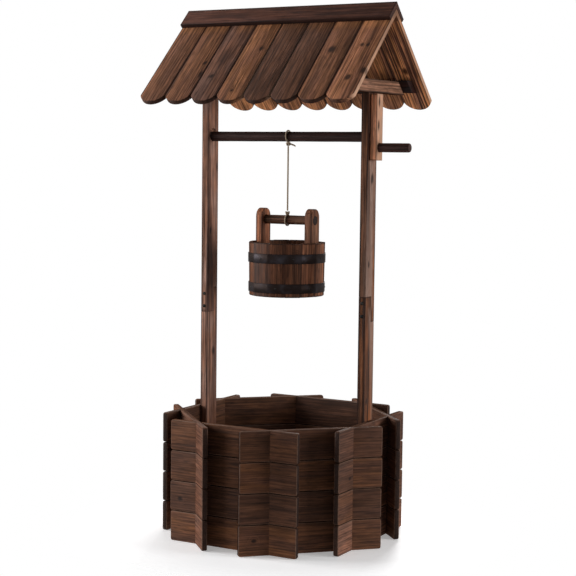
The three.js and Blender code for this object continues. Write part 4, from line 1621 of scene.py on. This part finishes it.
@dataclass(frozen=True)
class Bucket:
    """The stave bucket with its two hoops, floor, ears and dowel."""

    staves: int = 14
    taper: float = 83.0 / 84.6
    top_radius: float = 84.6
    wall: float = 9.5
    crown: float = 0.9
    joint: float = 0.2
    corner_from: float = 0.88  # where across a stave its rounded corners begin, out of 1
    corner_depth: float = 0.9
    croze: float = 3.0
    hoop: float = 1.5
    hoop_edge: float = 0.45
    nail_radius: float = 2.2
    nail_sunk: float = 0.1
    nail_sides: int = 14
    stave_edge: float = 1.6
    floor_edge: float = 0.8
    ear_edge: float = 0.9
    dowel_chamfer: float = 0.7
    seed: int = 14
    centre: tuple[float, float, float] = (2.5, 0.0, 0.0)

    @property
    def half(self) -> float:
        """Half the angle that a stave takes."""
        return math.pi / self.staves

    def narrowing(self, z: np.ndarray | float) -> np.ndarray | float:
        """Gives the share of the rim's radius at a height: 1 at the rim and taper at the foot."""
        low, high = node_box("bucket_staves")
        return 1 + (self.taper - 1) * (high[2] - z) / (high[2] - low[2])

    def narrowed(self, points: np.ndarray) -> np.ndarray:
        """Draws points in towards the bucket's axis, according to their heights."""
        share = self.narrowing(points[:, 2])
        return points * stacked(share, share, 1.0)

    def stave_outline(self) -> np.ndarray:
        """Works out a stave's section: a crowned outer face, straight sides and a flat inner one.

        Returns:
            An anticlockwise outline, u across the stave and v out from the bucket's axis.
        """
        outer, inner = self.top_radius, self.top_radius - self.wall
        share = np.linspace(1, -1, 9)
        corner = np.clip(np.abs(share) - self.corner_from, 0, 1) / (1 - self.corner_from)
        u = share * (outer * math.sin(self.half) - self.joint / 2)
        v = outer * math.cos(self.half) + self.crown * (1 - share**2) - self.corner_depth * corner
        width = inner * math.sin(self.half) - self.joint / 2
        depth = inner * math.cos(self.half)
        return np.concatenate([[[-width, depth], [width, depth]], stacked(u, v)])

    def make_staves(self, rng: np.random.Generator) -> None:
        """Makes the staves, each grooved inside for the floor.

        Args:
            rng: What their logs are drawn from.
        """
        low, high = node_box("bucket_staves")
        floor_low, floor_high = node_box("bucket_floor")
        outline = self.stave_outline()
        dig = np.zeros_like(outline)
        dig[:2, 1] = self.croze + FIT_GAP
        groove = {"dig": dig, "dig_from": floor_low[2] - FIT_GAP, "dig_to": floor_high[2] + FIT_GAP}
        for i, turn in enumerate(angles(self.staves)):
            out = np.array([math.cos(turn), math.sin(turn), 0.0])
            lift, drop = rng.uniform(0, 0.8), rng.uniform(0, 0.5)
            stave = Board(outline, low[2] + drop, high[2] - lift, self.stave_edge, along=Along.W, **groove)
            wood = random_log(rng, 117, 36, knot_chance=0.2, warm=0.35, line=0.9, end=0.2)
            light, grey = STAVE_TONES_AND_PAINTED_LIGHT.get(i, (wood.light, wood.grey))
            wood = replace(wood, light=light, grey=grey)
            axes = Axes(np.array(self.centre), np.cross(out, UP), out, UP)
            piece = stave.build(f"stave_{i + 1:02d}", axes, wood, self.narrowed)
            settle(piece, BUCKET_FIR, "bucket", "bucket_wood", "bucket_staves")

    def make_floor(self, rng: np.random.Generator) -> None:
        """Makes the floor: a disc of as many flats as there are staves.

        Args:
            rng: What its log is drawn from.
        """
        low, high = node_box("bucket_floor")
        angle = angles(self.staves) + self.half
        flat = (self.top_radius - self.wall) * math.cos(self.half) * self.narrowing(low[2])
        outline = (flat + self.croze) / math.cos(self.half) * stacked(np.cos(angle), np.sin(angle))
        board = Board(outline, low[2], high[2], self.floor_edge)
        axes = replace(WORLD, origin=np.array(self.centre))
        piece = board.build("bucket_bottom_board", axes, random_log(rng, 150, 150))
        settle(piece, BUCKET_FIR, "bucket", "bucket_wood", "bucket_floor")

    def hoop_path(self, radius: float) -> np.ndarray:
        """Works out a hoop's way round the staves, whose faces are crowned.

        On each stave it is at radius * cos(half angle) + crown * (1 - s^2), with s from -1 to 1
        across it, and it cuts the corners between them.

        Args:
            radius: The hoop's radius at the staves' corners.

        Returns:
            Points as x, y.
        """
        s = np.array([-0.97, -0.9, -0.6, -0.25, 0.25, 0.6, 0.9, 0.97])
        away = radius * math.cos(self.half) + self.crown * (1 - s**2)
        x, y = turned(away, s * radius * math.sin(self.half), angles(self.staves)[:, None])
        return stacked(x, y).reshape(-1, 2)

    def make_hoop(self, name: str) -> None:
        """Makes a hoop of flat strip with eased edges, and the nails through it.

        Args:
            name: "lower" or "upper".
        """
        low, high = (corner[2] for corner in node_box(f"bucket_{name}_hoop"))
        inside = self.hoop_path(self.top_radius + FIT_GAP)
        outside = self.hoop_path(self.top_radius + FIT_GAP + self.hoop)
        section = rectangle(0.0, 1.0, low, high).repeat(2, 0)
        across = self.hoop_edge / self.hoop
        section[[1, 6], 0] += across
        section[[2, 5], 0] -= across
        section[[0, 3], 1] += self.hoop_edge
        section[[4, 7], 1] -= self.hoop_edge
        flat = inside[:, None] + (outside - inside)[:, None] * section[:, :1]
        points = self.narrowed(stacked(flat[..., 0], flat[..., 1], section[:, 1]).reshape(-1, 3))
        faces = quads(len(inside), len(section), closed=True)[:, ::-1].tolist()
        piece = write_mesh(f"{name}_steel_hoop", points + self.centre, faces, crease=50)
        settle(piece, HOOP_STEEL, "bucket", "hoop_iron", f"bucket_{name}_hoop")
        self.make_nails(name, (low + high) / 2)

    def make_nails(self, name: str, z: float) -> None:
        """Makes one domed nail head, 1 mm high, on every other stave of a hoop.

        A head is sqrt(1 - (r / R)^2) high at radius r.

        Args:
            name: The hoop's name.
            z: Its middle.
        """
        turn = angles(self.staves)[0 if name == "upper" else 1 :: 2, None]
        share = np.cos(np.linspace(0, np.pi / 2, 5))[:-1, None]
        angle = angles(self.nail_sides)
        reach = self.nail_radius * share
        head = stacked(np.sqrt(1 - share**2), reach * np.cos(angle), reach * np.sin(angle))
        head = np.concatenate([head.reshape(-1, 3), [[0.0, 0, 0], [1.0, 0, 0]]])
        flat = (self.top_radius + FIT_GAP + self.hoop) * math.cos(self.half) + self.crown
        x, y = turned(head[:, 0] + flat - self.nail_sunk, head[:, 1], turn)
        points = self.narrowed(stacked(x, y, head[:, 2] + z).reshape(-1, 3)) + self.centre
        one = tube_faces(len(share), self.nail_sides)
        faces = [[i + len(head) * nail for i in face] for nail in range(len(turn)) for face in one]
        piece = write_mesh(f"{name}_hoop_nails", points, faces, crease=60)
        settle(piece, SCREW_STEEL, "bucket", "screw_steel")

    def make(self) -> None:
        """Makes the whole bucket."""
        rng = np.random.default_rng(self.seed)
        self.make_staves(rng)
        self.make_floor(rng)
        for name in ("lower", "upper"):
            self.make_hoop(name)
        for side in ("left", "right"):
            wood = random_log(rng, 170, 37, light=(2.4, 2.6), knot_chance=0.0)
            piece = eased_copy(f"bucket_{side}_ear", f"{side}_ear_board", self.ear_edge, wood, pale=False)
            settle(piece, BUCKET_FIR, "bucket", "bucket_wood", f"bucket_{side}_ear")
        wood = random_log(rng, 140, 20, light=(1.0, 1.05), knot_chance=0.0)
        chamfer = self.dowel_chamfer
        piece = turned_bar("dowel_bar", "bucket_handle_dowel", wood, chamfer, chamfer)
        settle(piece, BUCKET_FIR, "bucket", "bucket_wood", "bucket_handle_dowel")


@dataclass(frozen=True)
class Studio:
    """The camera, the floor and the light."""

    place: tuple[float, float, float] = (1.6193, -2.8655, 0.8199)
    yaw: float = 29.38
    pitch: float = -4.90
    roll: float = 0.67
    lens: float = 93.82
    floor_radii: tuple[float, float, float] = (0.4, 1.2, 6.0)
    floor_sides: int = 96
    floor_depth: float = 0.4  # how far the floor is under the part
    ambient: float = 0.12

    def camera(self) -> None:
        """Makes the camera at the photograph's place, turned by yaw, pitch and roll."""
        yaw, pitch, roll = (math.radians(a) for a in (self.yaw, self.pitch, self.roll))
        ahead = Vector((-math.sin(yaw) * math.cos(pitch), math.cos(yaw) * math.cos(pitch), math.sin(pitch)))
        right = Vector((math.cos(yaw), math.sin(yaw), 0))
        up = right.cross(ahead)
        side = right * math.cos(roll) + up * math.sin(roll)
        top = up * math.cos(roll) - right * math.sin(roll)
        data = bpy.data.cameras.new("camera")
        data.lens = self.lens
        data.sensor_width = 36
        data.clip_start = 0.05
        data.clip_end = 60
        camera = placed("camera", data)
        turned_to = Matrix((side, top, -ahead)).transposed().to_4x4()
        camera.matrix_world = Matrix.Translation(self.place) @ turned_to
        bpy.context.scene.camera = camera

    def world(self) -> None:
        """Makes the world: white where it is seen, and a plain soft light elsewhere."""
        bpy.context.scene.world = bpy.data.worlds.new("studio")
        put = emptied(bpy.context.scene.world)
        rays = put("LightPath").node.outputs
        seen = put("Math.MAXIMUM", rays["Is Camera Ray"], rays["Is Glossy Ray"])
        seen = put("Math.MAXIMUM", seen, rays["Is Transmission Ray"])
        light = put("Background", (1, 1, 1, 1), self.ambient)
        put("OutputWorld", put("MixShader", seen, light, put("Background", (1, 1, 1, 1), 1.0)))

    def lamp(self, name: str, place: Sequence[float], size: float, power: float) -> None:
        """Makes a soft square lamp that faces the middle of the part.

        Args:
            name: Its name.
            place: Where it is.
            size: Its side.
            power: In watts.
        """
        data = bpy.data.lights.new(name, "AREA")
        data.size = size
        data.energy = power
        lamp = placed(name, data)
        lamp.location = place
        ahead = Vector((0, 0, 0.6)) - Vector(place)
        lamp.rotation_euler = ahead.to_track_quat("-Z", "Y").to_euler()

    def floor(self) -> None:
        """Makes the pale floor: a disc just under the part that fades into the white round it."""
        angle = angles(self.floor_sides)
        radii = np.array(self.floor_radii)[:, None] / MM
        points = stacked(radii * np.cos(angle), radii * np.sin(angle), -self.floor_depth)
        faces = quads(len(radii), self.floor_sides)[:, ::-1].tolist() + [list(range(self.floor_sides))]
        floor = write_mesh("floor", points.reshape(-1, 3), faces)
        floor.data.materials.append(StudioWhite("white_studio_floor").material())

    def make(self) -> None:
        """Makes the light and the floor."""
        self.world()
        self.lamp("left", (-3.3, -1.3, 1.3), 1.5, 143)
        self.lamp("front", (-2.0, -3.0, 0.6), 1.4, 32)
        self.lamp("right", (3.3, 0.7, 0.8), 1.4, 95)
        self.lamp("back", (-1.0, 3.3, 1.8), 1.5, 90)
        self.floor()
        bpy.context.scene.view_settings.view_transform = "Standard"


def main() -> None:
    """Builds the camera and the rope, then every other assembly in order."""
    logging.basicConfig(level=logging.INFO, format="%(message)s")
    studio = Studio()
    studio.camera()
    for assembly in (Rope(), Planter(), PlanterFloor(), Posts(), Windlass(), Roof(), Bucket(), studio):
        log.info("making %s", type(assembly).__name__)
        assembly.make()


if __name__ == "__main__":
    main()
